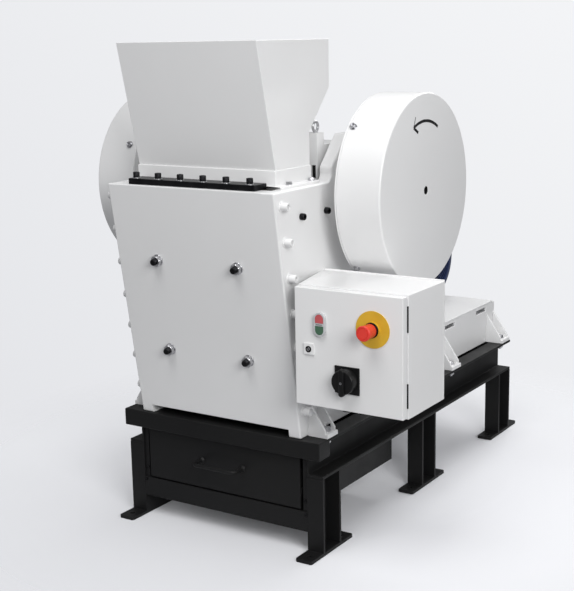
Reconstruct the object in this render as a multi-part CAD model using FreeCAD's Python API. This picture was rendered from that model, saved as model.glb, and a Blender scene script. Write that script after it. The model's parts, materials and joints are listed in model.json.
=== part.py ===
"""Laboratory jaw crusher on a welded frame, one STEP file per piece.

Millimetres. X runs across the machine, Y from its front to its back, Z up. The pieces are
laid out from the front face of the front legs and moved at export, so that the origin is on
the floor, in the machine's middle plane, at the centre of the middle legs' foot plates.
"""
import FreeCAD, Part
import math
import os

os.makedirs("parts", exist_ok=True)

# ---- base frame -------------------------------------------------------------------------
LEG_INNER = 270.5          # middle plane to the inner face of legs and beams
LEG_WIDTH = 49.0
LEG_DEPTH = 91.0
LEG_PITCH = 569.0
LEG_ROWS = 3
FOOT_LENGTH = 215.0
FOOT_THICK = 9.0
FOOT_CHAMFER = 4.0
FOOT_HOLE_RADIUS = 7.0
FOOT_HOLE_EDGE = 29.0      # hole centre to the end of the foot plate
FLANGE = 8.0
WEB = 6.0
BEAM_BOTTOM = 210.0
BEAM_HEIGHT = 102.0
CROSS_BEAM_HALF = 320.0
CROSS_BEAM_FRONT = -18.0
CROSS_BEAM_DEPTH = 56.0
CROSS_BEAM_HEIGHT = 48.0
REAR_CHANNEL_DEPTH = 46.0

# ---- drawer under the crusher -----------------------------------------------------------
SHEET = 3.0
HOUSING_INNER = 256.0      # middle plane to the housing's inner side face
HOUSING_FLOOR = 107.0
HOUSING_LENGTH = 482.0
APRON_BOTTOM = 58.0
MOVING_GAP = 5.0           # clearance round a piece that moves
PANEL_THICK = 4.0
TRAY_LENGTH = 460.0
TRAY_HEIGHT = 110.0
RAIL_THICK = 5.5
RAIL_HEIGHT = 30.0
RAIL_GAP = 0.5
RAIL_BOTTOM = 150.0
HANDLE_SPAN = 136.0
HANDLE_REACH = 42.0
HANDLE_RADIUS = 5.0
HANDLE_BEND = 14.0
HANDLE_HEIGHT = 196.0

# ---- crusher body -----------------------------------------------------------------------
BODY_HALF = 260.0
PLATE_THICK = 35.0
BODY_TOP = 959.5
FRONT_BOTTOM_Y = -8.0
FRONT_TOP_Y = -112.0
FRONT_GAP = 21.0           # daylight under the front wall
FRONT_WALL_THICK = 45.0
JAW_PLATE_THICK = 28.0
SHAFT_Y = 319.0
SHAFT_Z = 928.0
SHAFT_RADIUS = 45.0
SHAFT_FIT = 0.05
NECK_Y = 161.0             # where the side plate rises behind the hopper
NECK_FILLET = 22.0
NECK_TOP = 996.0
CROWN_HALF = 81.0          # flat top over the bearing
CROWN_TOP = 1076.0
REAR_UPPER_Y = 478.0
REAR_LOWER_Y = 590.0
REAR_UPPER_Z = 740.0
REAR_LOWER_Z = 600.0
REAR_COVER_THICK = 6.0
JAW_SIDE_GAP = 18.0        # swing jaw to side plate
BARREL_RADIUS = 122.0
JAW_BOTTOM = 345.0
JAW_TOP = 948.0
JAW_MOUTH_Y = 135.0        # moving jaw plate's face at the top
JAW_OUTLET = 29.0          # gap between the jaw plates at the bottom
LUG_FRONT_Y = 178.0
LUG_DEPTH = 34.0
LUG_TOP = 1080.0
HEAD_DROP = 2.0            # block behind the lug, below the top of the barrel
LUG_POCKET_INSET = (5.0, 20.5)      # from the jaw's side
LUG_POCKET_Z = (962.0, 997.0)
LUG_POCKET_DEPTH = 12.0
EYE_INSET = 15.0           # from the jaw's side
EYE_RING = 12.5
EYE_WIRE = 3.5
EYE_SHANK = 6.0
BEARING_RADIUS = 105.0
BEARING_LENGTH = 50.0
CLAMP_HALF = 197.5
CLAMP_FRONT_Y = -101.0
CLAMP_DEPTH = 55.0
CLAMP_THICK = 15.0
BODY_FOOT_Y = (27.0, 500.0)
BODY_FOOT_LENGTH = 53.0
BODY_FOOT_RISE = 98.0
FOOT_PLATE = 12.0          # thickness of the feet that stand on the beams
FOOT_OUTER = 319.0
RIB = 7.0
RIB_TOE = 8.0
RIB_NOTCH_X = (284.0, 300.0)    # passage at the foot of each rear rib of the crusher feet
RIB_NOTCH_HEIGHT = 15.0

# ---- hopper -----------------------------------------------------------------------------
HOPPER_HALF = 215.0
HOPPER_SHEET = 4.0
HOPPER_TOP = 1319.0
HOPPER_FRONT = ((-105.0, HOPPER_TOP), (-33.0, 1008.0), (-30.0, BODY_TOP))
HOPPER_REAR = ((229.0, HOPPER_TOP), (229.0, 1197.0), (128.0, 1088.0), (128.0, BODY_TOP))
HOPPER_FLANGE_HALF = 240.0
HOPPER_FLANGE_Y = (-44.0, 134.0)
HOPPER_FLANGE_THICK = 6.0

# ---- flywheel guards and belt guard -----------------------------------------------------
GUARD_RADIUS = 252.0
GUARD_INNER = 327.0
GUARD_WIDTH = 124.5
GUARD_EDGE = 4.0
GUARD_HOLE_RADIUS = 11.0
GUARD_HOLE_DEPTH = 30.0
GUARD_BACK_THICK = 4.0
SPACER_RADIUS = 11.0
SPACER_CIRCLE = 135.0
SPACER_ANGLES = (45.0, 135.0, 270.0)
BELT_GUARD_WIDTH = 104.0
BELT_GUARD_SETBACK = 4.0   # belt guard face behind the drum's inner face
BELT_GUARD_LARGE = 215.0
BELT_GUARD_SMALL = 95.0

# ---- rear housing and motor -------------------------------------------------------------
REAR_BOX_SETBACK = 3.0     # the box's back to the beams' ends
REAR_BOX_LENGTH = 451.0
REAR_BOX_TOP = 440.0
REAR_BOX_WALL = 8.0
TOP_PLATE_THICK = 6.0
TOP_PLATE_ENDS = (8.0, 436.0)       # this and the lines below: from the box's front
NOTCHES_ALONG = ((69.0, 142.0), (305.0, 384.0))
BOX_FEET_ALONG = (0.0, 385.0)
MOTOR_ALONG = 270.0
NOTCH_BOTTOM = 419.0
NOTCH_HEIGHT = 13.0
BOX_FOOT_LENGTH = 62.0
BOX_FOOT_RISE = 98.0
MOTOR_SHAFT_HEIGHT = 132.0
MOTOR_RAIL_HEIGHT = 26.0
MOTOR_RAIL_WIDTH = 40.0
MOTOR_RAIL_LENGTH = 280.0
MOTOR_FAN_END = 130.0
MOTOR_FAN_LENGTH = 78.0
MOTOR_FAN_RADIUS = 130.0
MOTOR_BODY_LENGTH = 340.0
MOTOR_BODY_RADIUS = 116.0
MOTOR_FOOT_SPREAD = 216.0
MOTOR_FOOT_PITCH = 178.0
MOTOR_FOOT_SIZE = 46.0
MOTOR_SHAFT_RADIUS = 19.0
TERMINAL_BOX = (130.0, 110.0, 68.0)

# ---- control cabinet --------------------------------------------------------------------
CABINET_LEFT = 298.0
CABINET_WIDTH = 302.0
CABINET_FRONT = -91.0
CABINET_DEPTH = 210.0
CABINET_BOTTOM = 436.0
CABINET_HEIGHT = 300.0
CABINET_SHEET = 2.5
DOOR_DEPTH = 20.0
DOOR_GAP = 3.0
DOOR_INSET = 3.0
DOOR_LIP = 14.0
DOOR_EDGE = 2.0            # rounding of the door's front edges, about the hinge axis
BUTTON_X = 375.5
BUTTON_Z = 647.7
BEZEL_RADIUS = 15.0        # the double button's frame: two half rounds and a middle
BEZEL_PROUD = 9.0
BEZEL_RIM = 4.0
BUTTON_HEIGHT = 21.1
BUTTON_SPLIT = 3.9         # half of the strip between the two buttons
BUTTON_TRAVEL = 3.0
BUTTON_POCKET = 7.0
BUTTON_GAP = 0.5
ESTOP_X = 517.5
ESTOP_Z = 650.0
ESTOP_DISC_RADIUS = 45.0
ESTOP_DISC_THICK = 2.0
ESTOP_COLLAR_RADIUS = 19.0
ESTOP_COLLAR_LENGTH = 5.0
ESTOP_HEAD_RADIUS = 20.5
ESTOP_SKIRT_RADIUS = 17.0
ESTOP_HEAD_LENGTH = 36.0
ESTOP_STEM_RADIUS = 11.0
ESTOP_GAP = 6.0
SWITCH_X = 448.0
SWITCH_Z = 517.5
SWITCH_PLATE = 67.0
SWITCH_PLATE_THICK = 4.0
SWITCH_KNOB_RADIUS = 30.0
SWITCH_KNOB_LENGTH = 24.0
SWITCH_GRIP = (15.0, 68.0, 6.0)
LOCK_X = 341.5
LOCK_Z = 582.5
LOCK_PLATE = 27.0
LOCK_PLATE_THICK = 4.0
LOCK_RADIUS = 7.0
LOCK_PROUD = 1.5
MOUNT_THICK = 6.0          # plate behind the cabinet
MOUNT_RISE = 3.0           # its top edge above the cabinet
GUSSET_THICK = 9.0
GUSSET_ROOT = 16.0         # its width on the side plate
GUSSET_FRONT = 60.0        # how far a gusset reaches in front of the legs' front face
GLAND_X = (395.0, 440.0)
GLAND_Y = 0.0
GLAND_RADIUS = 13.0
GLAND_LENGTH = 28.0

# ---- values that follow from those above ------------------------------------------------
LEG_OUTER = LEG_INNER + LEG_WIDTH
BEAM_TOP = BEAM_BOTTOM + BEAM_HEIGHT
BEAM_LENGTH = (LEG_ROWS - 1) * LEG_PITCH + LEG_DEPTH
ORIGIN_Y = BEAM_LENGTH / 2
CROSS_BEAM_BACK = CROSS_BEAM_FRONT + CROSS_BEAM_DEPTH
CROSS_BEAM_BOTTOM = BEAM_TOP - CROSS_BEAM_HEIGHT
PANEL_HALF = HOUSING_INNER - RAIL_THICK - 1.0
TRAY_HALF = HOUSING_INNER - 2 * MOVING_GAP
TRAY_BOTTOM = HOUSING_FLOOR + SHEET + MOVING_GAP + 1.0
CHAMBER_HALF = BODY_HALF - PLATE_THICK
JAW_HALF = CHAMBER_HALF - JAW_SIDE_GAP
EYE_X = JAW_HALF - EYE_INSET
REAR_BOX_BACK = BEAM_LENGTH - REAR_BOX_SETBACK
REAR_BOX_FRONT = REAR_BOX_BACK - REAR_BOX_LENGTH
MOTOR_Y = REAR_BOX_FRONT + MOTOR_ALONG
LEAN = math.atan2(FRONT_BOTTOM_Y - FRONT_TOP_Y, BODY_TOP - BEAM_TOP)
GUARD_OUTER = GUARD_INNER + GUARD_WIDTH
TOP_PLATE_TOP = REAR_BOX_TOP + TOP_PLATE_THICK
MOTOR_FOOT_Z = TOP_PLATE_TOP + MOTOR_RAIL_HEIGHT
MOTOR_Z = MOTOR_FOOT_Z + MOTOR_SHAFT_HEIGHT
CABINET_RIGHT = CABINET_LEFT + CABINET_WIDTH
CABINET_TOP = CABINET_BOTTOM + CABINET_HEIGHT
DOOR_BACK = CABINET_FRONT + DOOR_DEPTH
BODY_FRONT = DOOR_BACK + DOOR_GAP


# ---- helpers ----------------------------------------------------------------------------
def vec(x, y, z):
    return FreeCAD.Vector(x, y, z)


def box(x, y, z):
    """A box from three (low, high) pairs."""
    return Part.makeBox(x[1] - x[0], y[1] - y[0], z[1] - z[0], vec(x[0], y[0], z[0]))


def disc(axis, centre, radius, length):
    """A cylinder that starts at centre and runs along axis, a letter with a sign."""
    way = {"X": vec(1, 0, 0), "Y": vec(0, 1, 0), "Z": vec(0, 0, 1)}[axis[1]]
    return Part.makeCylinder(radius, length, centre, way * (1 if axis[0] == "+" else -1))


def prism_x(outline, x):
    """An outline of (y, z) points between two x values."""
    points = [vec(x[0], y, z) for y, z in outline]
    face = Part.Face(Part.makePolygon(points + points[:1]))
    return face.extrude(vec(x[1] - x[0], 0, 0))


def prism_z(outline, z):
    """An outline of (x, y) points between two z values."""
    points = [vec(x, y, z[0]) for x, y in outline]
    face = Part.Face(Part.makePolygon(points + points[:1]))
    return face.extrude(vec(0, 0, z[1] - z[0]))


def fuse(pieces):
    return pieces[0].multiFuse(pieces[1:]).removeSplitter()


def mirror(shape):
    """The same piece on the machine's other side."""
    return shape.mirror(vec(0, 0, 0), vec(1, 0, 0))


def outset(line, distance):
    """An open line of (y, z) points moved to its left by a distance, corners mitred."""
    normals = []
    for (y0, z0), (y1, z1) in zip(line, line[1:]):
        length = math.hypot(y1 - y0, z1 - z0)
        normals.append((-(z1 - z0) / length, (y1 - y0) / length))
    moved = []
    for i, (y, z) in enumerate(line):
        before = normals[max(i - 1, 0)]
        after = normals[min(i, len(normals) - 1)]
        scale = distance / (1 + before[0] * after[0] + before[1] * after[1])
        moved.append((y + (before[0] + after[0]) * scale, z + (before[1] + after[1]) * scale))
    return moved


def on_circle(radius, degrees, y=SHAFT_Y, z=SHAFT_Z):
    """The (y, z) point on a circle about an axis along X, at an angle from the back."""
    angle = math.radians(degrees)
    return y + radius * math.cos(angle), z + radius * math.sin(angle)


def front_y(z, depth=0.0):
    """Y of the leaning front at height z, or of a plane that lies deeper behind it."""
    return FRONT_BOTTOM_Y - (z - BEAM_TOP) * math.tan(LEAN) + depth / math.cos(LEAN)


def save(name, shape):
    placed = shape.copy()
    placed.translate(vec(0, -ORIGIN_Y, 0))
    placed.exportStep("parts/" + name + ".step")


def save_pair(name, shape):
    """Save the right-hand piece, and its mirror image as the left-hand one."""
    save(name + "_right", shape)
    save(name + "_left", mirror(shape))


def save_both(name, shape):
    """Save the right-hand piece and its mirror image as one sub-part."""
    save(name, Part.makeCompound([shape, mirror(shape)]))


# ---- base frame -------------------------------------------------------------------------
def leg(row):
    """A right-hand leg: a channel open to the side, welded on its foot plate."""
    front = row * LEG_PITCH
    back = front + LEG_DEPTH
    middle = front + LEG_DEPTH / 2
    height = (FOOT_THICK, BEAM_BOTTOM)
    ends = (middle - FOOT_LENGTH / 2, middle + FOOT_LENGTH / 2)
    cut = FOOT_CHAMFER
    plate = prism_z([(LEG_INNER + cut, ends[0]), (LEG_OUTER - cut, ends[0]),
                     (LEG_OUTER, ends[0] + cut), (LEG_OUTER, ends[1] - cut),
                     (LEG_OUTER - cut, ends[1]), (LEG_INNER + cut, ends[1]),
                     (LEG_INNER, ends[1] - cut), (LEG_INNER, ends[0] + cut)], (0, FOOT_THICK))
    across = (LEG_INNER, LEG_OUTER)
    shape = fuse([plate,
                  box(across, (front, front + FLANGE), height),
                  box(across, (back - FLANGE, back), height),
                  box((LEG_INNER, LEG_INNER + WEB), (front, back), height)])
    for y in (ends[0] + FOOT_HOLE_EDGE, ends[1] - FOOT_HOLE_EDGE):
        hole = disc("+Z", vec(LEG_INNER + LEG_WIDTH / 2, y, 0), FOOT_HOLE_RADIUS, FOOT_THICK)
        shape = shape.cut(hole)
    return shape


def long_beam():
    """The right-hand beam: a channel open to the side, notched for the front cross beam."""
    across = (LEG_INNER, LEG_OUTER)
    along = (0, BEAM_LENGTH)
    channel = fuse([box(across, along, (BEAM_BOTTOM, BEAM_BOTTOM + FLANGE)),
                    box(across, along, (BEAM_TOP - FLANGE, BEAM_TOP)),
                    box((LEG_INNER, LEG_INNER + WEB), along, (BEAM_BOTTOM, BEAM_TOP))])
    notch = box((LEG_INNER - 1, LEG_OUTER + 1), (-1, CROSS_BEAM_BACK),
                (CROSS_BEAM_BOTTOM, BEAM_TOP + 1))
    return channel.cut(notch)


def front_cross_beam():
    return box((-CROSS_BEAM_HALF, CROSS_BEAM_HALF), (CROSS_BEAM_FRONT, CROSS_BEAM_BACK),
               (CROSS_BEAM_BOTTOM, BEAM_TOP))


def rear_cross_beam():
    across = (-LEG_INNER, LEG_INNER)
    front = BEAM_LENGTH - REAR_CHANNEL_DEPTH
    depth = (front, BEAM_LENGTH)
    return fuse([box(across, depth, (BEAM_BOTTOM, BEAM_BOTTOM + FLANGE)),
                 box(across, depth, (BEAM_TOP - FLANGE, BEAM_TOP)),
                 box(across, (BEAM_LENGTH - WEB, BEAM_LENGTH), (BEAM_BOTTOM, BEAM_TOP))])


# ---- drawer -----------------------------------------------------------------------------
def front_apron():
    return box((-LEG_INNER, LEG_INNER), (0, FLANGE), (APRON_BOTTOM, HOUSING_FLOOR + 2 * SHEET))


def drawer_housing():
    """Walls and floor of sheet with a rail on each side wall, hung from the beams."""
    outer = HOUSING_INNER + SHEET
    floor = (HOUSING_FLOOR, HOUSING_FLOOR + SHEET)
    back = FLANGE + HOUSING_LENGTH
    hem = (BEAM_TOP - FLANGE - SHEET, BEAM_TOP - FLANGE)
    pieces = [box((-outer, outer), (FLANGE, back), floor),
              box((-outer, outer), (back - SHEET, back), (floor[0], BEAM_TOP - FLANGE))]
    for side in (-1, 1):
        wall = sorted((side * HOUSING_INNER, side * outer))
        lip = sorted((side * HOUSING_INNER, side * LEG_INNER))
        pieces.append(box(wall, (FLANGE, back), (floor[0], CROSS_BEAM_BOTTOM)))
        pieces.append(box(wall, (CROSS_BEAM_BACK, back), (CROSS_BEAM_BOTTOM, hem[1])))
        pieces.append(box(lip, (CROSS_BEAM_BACK, back), hem))
        pieces.append(box(lip, (FLANGE - SHEET, FLANGE), (HOUSING_FLOOR + 2 * SHEET,
                                                          CROSS_BEAM_BOTTOM)))
    rail = box((HOUSING_INNER - RAIL_THICK, HOUSING_INNER), (2 * FLANGE, HOUSING_LENGTH),
               (RAIL_BOTTOM, RAIL_BOTTOM + RAIL_HEIGHT))
    return fuse(pieces + [rail, mirror(rail)])


def drawer():
    """The front panel and the open tray behind it, with a slide bar on each side."""
    front = FLANGE - PANEL_THICK - SHEET
    back = front + PANEL_THICK
    panel = box((-PANEL_HALF, PANEL_HALF), (front, back),
                (HOUSING_FLOOR + 2 * SHEET + MOVING_GAP, CROSS_BEAM_BOTTOM - MOVING_GAP))
    tray = box((-TRAY_HALF, TRAY_HALF), (back, back + TRAY_LENGTH),
               (TRAY_BOTTOM, TRAY_BOTTOM + TRAY_HEIGHT))
    inside = box((-TRAY_HALF + SHEET, TRAY_HALF - SHEET),
                 (back + SHEET, back + TRAY_LENGTH - SHEET),
                 (TRAY_BOTTOM + SHEET, TRAY_BOTTOM + TRAY_HEIGHT + 1))
    middle = RAIL_BOTTOM + RAIL_HEIGHT / 2
    bar = box((TRAY_HALF, HOUSING_INNER - RAIL_THICK - RAIL_GAP), (back, back + TRAY_LENGTH),
              (middle - RAIL_HEIGHT / 4, middle + RAIL_HEIGHT / 4))
    return fuse([panel, tray.cut(inside), bar, mirror(bar)])


def drawer_handle():
    """A round bar bent to a bow, both ends on the drawer's panel."""
    face = FLANGE - PANEL_THICK - SHEET
    half = HANDLE_SPAN / 2
    far = face - HANDLE_REACH
    bend = HANDLE_BEND
    mid = bend * (1 - math.sqrt(0.5))
    z = HANDLE_HEIGHT

    def corner(side):
        return Part.Arc(vec(side * half, far + bend, z),
                        vec(side * (half - mid), far + mid, z),
                        vec(side * (half - bend), far, z)).toShape()

    path = Part.Wire([Part.makeLine(vec(-half, face, z), vec(-half, far + bend, z)),
                      corner(-1),
                      Part.makeLine(vec(-half + bend, far, z), vec(half - bend, far, z)),
                      corner(1),
                      Part.makeLine(vec(half, far + bend, z), vec(half, face, z))])
    ring = Part.Wire([Part.makeCircle(HANDLE_RADIUS, vec(-half, face, z), vec(0, 1, 0))])
    return path.makePipeShell([ring], True, False)


# ---- crusher body -----------------------------------------------------------------------
def side_plate():
    """The right-hand side plate: leaning front edge, neck behind the hopper, bearing crown."""
    crown = (SHAFT_Y - CROWN_HALF, SHAFT_Y + CROWN_HALF)
    outline = [(FRONT_BOTTOM_Y, BEAM_TOP), (FRONT_TOP_Y, BODY_TOP), (NECK_Y, BODY_TOP),
               (NECK_Y, NECK_TOP), (crown[0], CROWN_TOP), (crown[1], CROWN_TOP),
               (REAR_UPPER_Y, NECK_TOP), (REAR_UPPER_Y, REAR_UPPER_Z),
               (REAR_LOWER_Y, REAR_LOWER_Z), (REAR_LOWER_Y, BEAM_TOP)]
    across = (CHAMBER_HALF, BODY_HALF)
    plate = prism_x(outline, across)
    radius = NECK_FILLET
    corner = box(across, (NECK_Y - radius, NECK_Y), (BODY_TOP, BODY_TOP + radius))
    round_off = disc("+X", vec(CHAMBER_HALF, NECK_Y - radius, BODY_TOP + radius), radius,
                     PLATE_THICK)
    bore = disc("+X", vec(CHAMBER_HALF, SHAFT_Y, SHAFT_Z), SHAFT_RADIUS + SHAFT_FIT,
                PLATE_THICK)
    return fuse([plate, corner.cut(round_off)]).cut(bore)


def front_slab(depth, z):
    """A slab between the side plates that follows the leaning front."""
    outline = [(front_y(z[0], depth[0]), z[0]), (front_y(z[1], depth[0]), z[1]),
               (front_y(z[1], depth[1]), z[1]), (front_y(z[0], depth[1]), z[0])]
    return prism_x(outline, (-CHAMBER_HALF, CHAMBER_HALF))


def front_wall():
    return front_slab((0, FRONT_WALL_THICK), (BEAM_TOP + FRONT_GAP, BODY_TOP))


def fixed_jaw_plate():
    return front_slab((FRONT_WALL_THICK, FRONT_WALL_THICK + JAW_PLATE_THICK),
                      (JAW_BOTTOM, JAW_TOP))


def rear_cover():
    """A folded plate that closes the body between the side plates at the back."""
    line = [(REAR_LOWER_Y, BEAM_TOP), (REAR_LOWER_Y, REAR_LOWER_Z),
            (REAR_UPPER_Y, REAR_UPPER_Z), (REAR_UPPER_Y, NECK_TOP)]
    outer = outset(line, REAR_COVER_THICK)
    inner = outset(line, 2 * REAR_COVER_THICK)
    return prism_x(outer + inner[::-1], (-CHAMBER_HALF, CHAMBER_HALF))


def moving_jaw_line():
    """Front face of the moving jaw plate, from its top to its bottom, as (y, z) points."""
    outlet = front_y(JAW_BOTTOM, FRONT_WALL_THICK + JAW_PLATE_THICK) + JAW_OUTLET
    return [(JAW_MOUTH_Y, JAW_TOP), (outlet, JAW_BOTTOM)]


def moving_jaw_plate():
    face = moving_jaw_line()
    back = outset(face, JAW_PLATE_THICK)
    back = [(y, z) for (y, _), (_, z) in zip(back, face)]
    return prism_x(face + back[::-1], (-JAW_HALF, JAW_HALF))


def swing_jaw():
    """The jaw carrier: a barrel on the eccentric shaft, the arm below it, and the head with
    its upright lug at the front."""
    across = (-JAW_HALF, JAW_HALF)
    face = moving_jaw_line()
    back = outset(face, JAW_PLATE_THICK)
    top = (back[0][0], JAW_TOP)
    bottom = (back[1][0], JAW_BOTTOM)
    arm = prism_x([top, (SHAFT_Y, JAW_TOP), (SHAFT_Y, SHAFT_Z - BARREL_RADIUS),
                   (bottom[0] + 2 * JAW_PLATE_THICK, JAW_BOTTOM), bottom], across)
    barrel = disc("+X", vec(-JAW_HALF, SHAFT_Y, SHAFT_Z), BARREL_RADIUS, 2 * JAW_HALF)
    lug_back = LUG_FRONT_Y + LUG_DEPTH
    head_top = SHAFT_Z + BARREL_RADIUS - HEAD_DROP
    head = prism_x([(LUG_FRONT_Y, JAW_TOP), (LUG_FRONT_Y, LUG_TOP), (lug_back, LUG_TOP),
                    (lug_back, head_top), (SHAFT_Y, head_top), (SHAFT_Y, JAW_TOP)], across)
    pocket = box((JAW_HALF - LUG_POCKET_INSET[1], JAW_HALF - LUG_POCKET_INSET[0]),
                 (LUG_FRONT_Y - 1, LUG_FRONT_Y + LUG_POCKET_DEPTH), LUG_POCKET_Z)
    bore = disc("+X", vec(-JAW_HALF, SHAFT_Y, SHAFT_Z), SHAFT_RADIUS + SHAFT_FIT,
                2 * JAW_HALF)
    return fuse([arm, barrel, head]).cut(bore).cut(pocket).cut(mirror(pocket))


def lifting_eye():
    """A ring bolt on the swing jaw's lug."""
    y = LUG_FRONT_Y + LUG_DEPTH / 2
    collar = disc("+Z", vec(EYE_X, y, LUG_TOP), EYE_SHANK, EYE_WIRE)
    ring = Part.makeTorus(EYE_RING, EYE_WIRE, vec(EYE_X, y, LUG_TOP + EYE_RING + EYE_WIRE),
                          vec(1, 0, 0))
    return fuse([collar, ring])


def main_shaft():
    return disc("+X", vec(-GUARD_INNER + GUARD_BACK_THICK, SHAFT_Y, SHAFT_Z), SHAFT_RADIUS,
                2 * (GUARD_INNER - GUARD_BACK_THICK))


def bearing_housing():
    body = disc("+X", vec(BODY_HALF, SHAFT_Y, SHAFT_Z), BEARING_RADIUS, BEARING_LENGTH)
    bore = disc("+X", vec(BODY_HALF, SHAFT_Y, SHAFT_Z), SHAFT_RADIUS + SHAFT_FIT,
                BEARING_LENGTH)
    return body.cut(bore)


def clamp_bar():
    return box((-CLAMP_HALF, CLAMP_HALF), (CLAMP_FRONT_Y, CLAMP_FRONT_Y + CLAMP_DEPTH),
               (BODY_TOP, BODY_TOP + CLAMP_THICK))


def ribbed_foot(front, length, rise):
    """A right-hand foot: a plate on the beam and two ribs up to the side wall."""
    plate_top = BEAM_TOP + FOOT_PLATE
    back = front + length
    plate = box((BODY_HALF, FOOT_OUTER), (front, back), (BEAM_TOP, plate_top))
    pieces = [plate]
    for y in (front, back - RIB):
        outline = [vec(BODY_HALF, y, plate_top), vec(FOOT_OUTER - RIB, y, plate_top),
                   vec(FOOT_OUTER - RIB, y, plate_top + RIB_TOE),
                   vec(BODY_HALF, y, BEAM_TOP + rise)]
        face = Part.Face(Part.makePolygon(outline + outline[:1]))
        pieces.append(face.extrude(vec(0, RIB, 0)))
    return fuse(pieces)


def crusher_foot(front):
    """A foot of the crusher body, with a passage through its rear rib."""
    back = front + BODY_FOOT_LENGTH
    plate_top = BEAM_TOP + FOOT_PLATE
    passage = box(RIB_NOTCH_X, (back - RIB - 1, back + 1),
                  (plate_top, plate_top + RIB_NOTCH_HEIGHT))
    return ribbed_foot(front, BODY_FOOT_LENGTH, BODY_FOOT_RISE).cut(passage)


def both_sides(right):
    """Right-hand feet and their mirror images as one sub-part."""
    return Part.makeCompound(right + [mirror(foot) for foot in right])


# ---- hopper -----------------------------------------------------------------------------
def hopper():
    """An open funnel of sheet with upright sides, on a flange over the crushing chamber."""
    sheet = HOPPER_SHEET
    outer = prism_x(list(HOPPER_FRONT) + list(HOPPER_REAR)[::-1], (-HOPPER_HALF, HOPPER_HALF))
    front = outset(HOPPER_FRONT, sheet)
    rear = outset(HOPPER_REAR, -sheet)
    front[0] = (front[0][0], HOPPER_TOP + 1)
    front[-1] = (front[-1][0], BODY_TOP - 1)
    rear[0] = (rear[0][0], HOPPER_TOP + 1)
    rear[-1] = (rear[-1][0], BODY_TOP - 1)
    inner = prism_x(front + rear[::-1], (-HOPPER_HALF + sheet, HOPPER_HALF - sheet))
    flange = box((-HOPPER_FLANGE_HALF, HOPPER_FLANGE_HALF), HOPPER_FLANGE_Y,
                 (BODY_TOP, BODY_TOP + HOPPER_FLANGE_THICK))
    return fuse([outer, flange]).cut(inner)


# ---- guards -----------------------------------------------------------------------------
def flywheel_guard():
    """The right-hand drum over a flywheel, with a round opening for a speed reading."""
    drum = disc("+X", vec(GUARD_INNER, SHAFT_Y, SHAFT_Z), GUARD_RADIUS, GUARD_WIDTH)
    rims = [edge for edge in drum.Edges
            if edge.BoundBox.XLength < 1 and abs(edge.BoundBox.XMax - GUARD_OUTER) < 0.01]
    drum = drum.makeFillet(GUARD_EDGE, rims)
    hole = disc("-X", vec(GUARD_OUTER, SHAFT_Y, SHAFT_Z), GUARD_HOLE_RADIUS, GUARD_HOLE_DEPTH)
    return drum.cut(hole)


def guard_back():
    """The right-hand back plate, on spacers from the side plate."""
    inner = GUARD_INNER - GUARD_BACK_THICK
    plate = disc("+X", vec(inner, SHAFT_Y, SHAFT_Z), GUARD_RADIUS, GUARD_BACK_THICK)
    pieces = [plate]
    for angle in SPACER_ANGLES:
        y, z = on_circle(SPACER_CIRCLE, angle)
        pieces.append(disc("+X", vec(BODY_HALF, y, z), SPACER_RADIUS, inner - BODY_HALF))
    return fuse(pieces)


def belt_guard():
    """The long cover from the left drum to the motor's pulley."""
    inner = -GUARD_INNER - BELT_GUARD_SETBACK
    outer = inner - BELT_GUARD_WIDTH
    run_y = MOTOR_Y - SHAFT_Y
    run_z = MOTOR_Z - SHAFT_Z
    along = math.degrees(math.atan2(run_z, run_y))
    spread = math.degrees(math.acos((BELT_GUARD_LARGE - BELT_GUARD_SMALL)
                                    / math.hypot(run_y, run_z)))
    above, below = along + spread, along - spread
    web = prism_x([on_circle(BELT_GUARD_LARGE, above),
                   on_circle(BELT_GUARD_SMALL, above, MOTOR_Y, MOTOR_Z),
                   on_circle(BELT_GUARD_SMALL, below, MOTOR_Y, MOTOR_Z),
                   on_circle(BELT_GUARD_LARGE, below)], (outer, inner))
    end = disc("+X", vec(outer, MOTOR_Y, MOTOR_Z), BELT_GUARD_SMALL, BELT_GUARD_WIDTH)
    drum = disc("+X", vec(outer - 1, SHAFT_Y, SHAFT_Z), GUARD_RADIUS, BELT_GUARD_WIDTH + 2)
    return fuse([web, end]).cut(drum)


# ---- rear housing and motor -------------------------------------------------------------
def rear_housing():
    """A walled box across the beams, notched under its top plate."""
    wall = REAR_BOX_WALL
    shell = box((-BODY_HALF, BODY_HALF), (REAR_BOX_FRONT, REAR_BOX_BACK),
                (BEAM_TOP, REAR_BOX_TOP))
    inside = box((-BODY_HALF + wall, BODY_HALF - wall),
                 (REAR_BOX_FRONT + wall, REAR_BOX_BACK - wall),
                 (BEAM_TOP - 1, REAR_BOX_TOP + 1))
    shape = shell.cut(inside)
    for start, end in NOTCHES_ALONG:
        shape = shape.cut(box((-BODY_HALF - 1, BODY_HALF + 1),
                              (REAR_BOX_FRONT + start, REAR_BOX_FRONT + end),
                              (NOTCH_BOTTOM, NOTCH_BOTTOM + NOTCH_HEIGHT)))
    return shape


def housing_top_plate():
    along = (REAR_BOX_FRONT + TOP_PLATE_ENDS[0], REAR_BOX_FRONT + TOP_PLATE_ENDS[1])
    return box((-BODY_HALF, BODY_HALF), along, (REAR_BOX_TOP, TOP_PLATE_TOP))


def motor_rails():
    centre = MOTOR_FAN_END - MOTOR_FAN_LENGTH - MOTOR_BODY_LENGTH / 2
    half = MOTOR_RAIL_WIDTH / 2
    rails = []
    for x in (centre - MOTOR_FOOT_PITCH / 2, centre + MOTOR_FOOT_PITCH / 2):
        rails.append(box((x - half, x + half),
                         (MOTOR_Y - MOTOR_RAIL_LENGTH / 2, MOTOR_Y + MOTOR_RAIL_LENGTH / 2),
                         (TOP_PLATE_TOP, MOTOR_FOOT_Z)))
    return Part.makeCompound(rails)


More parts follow.
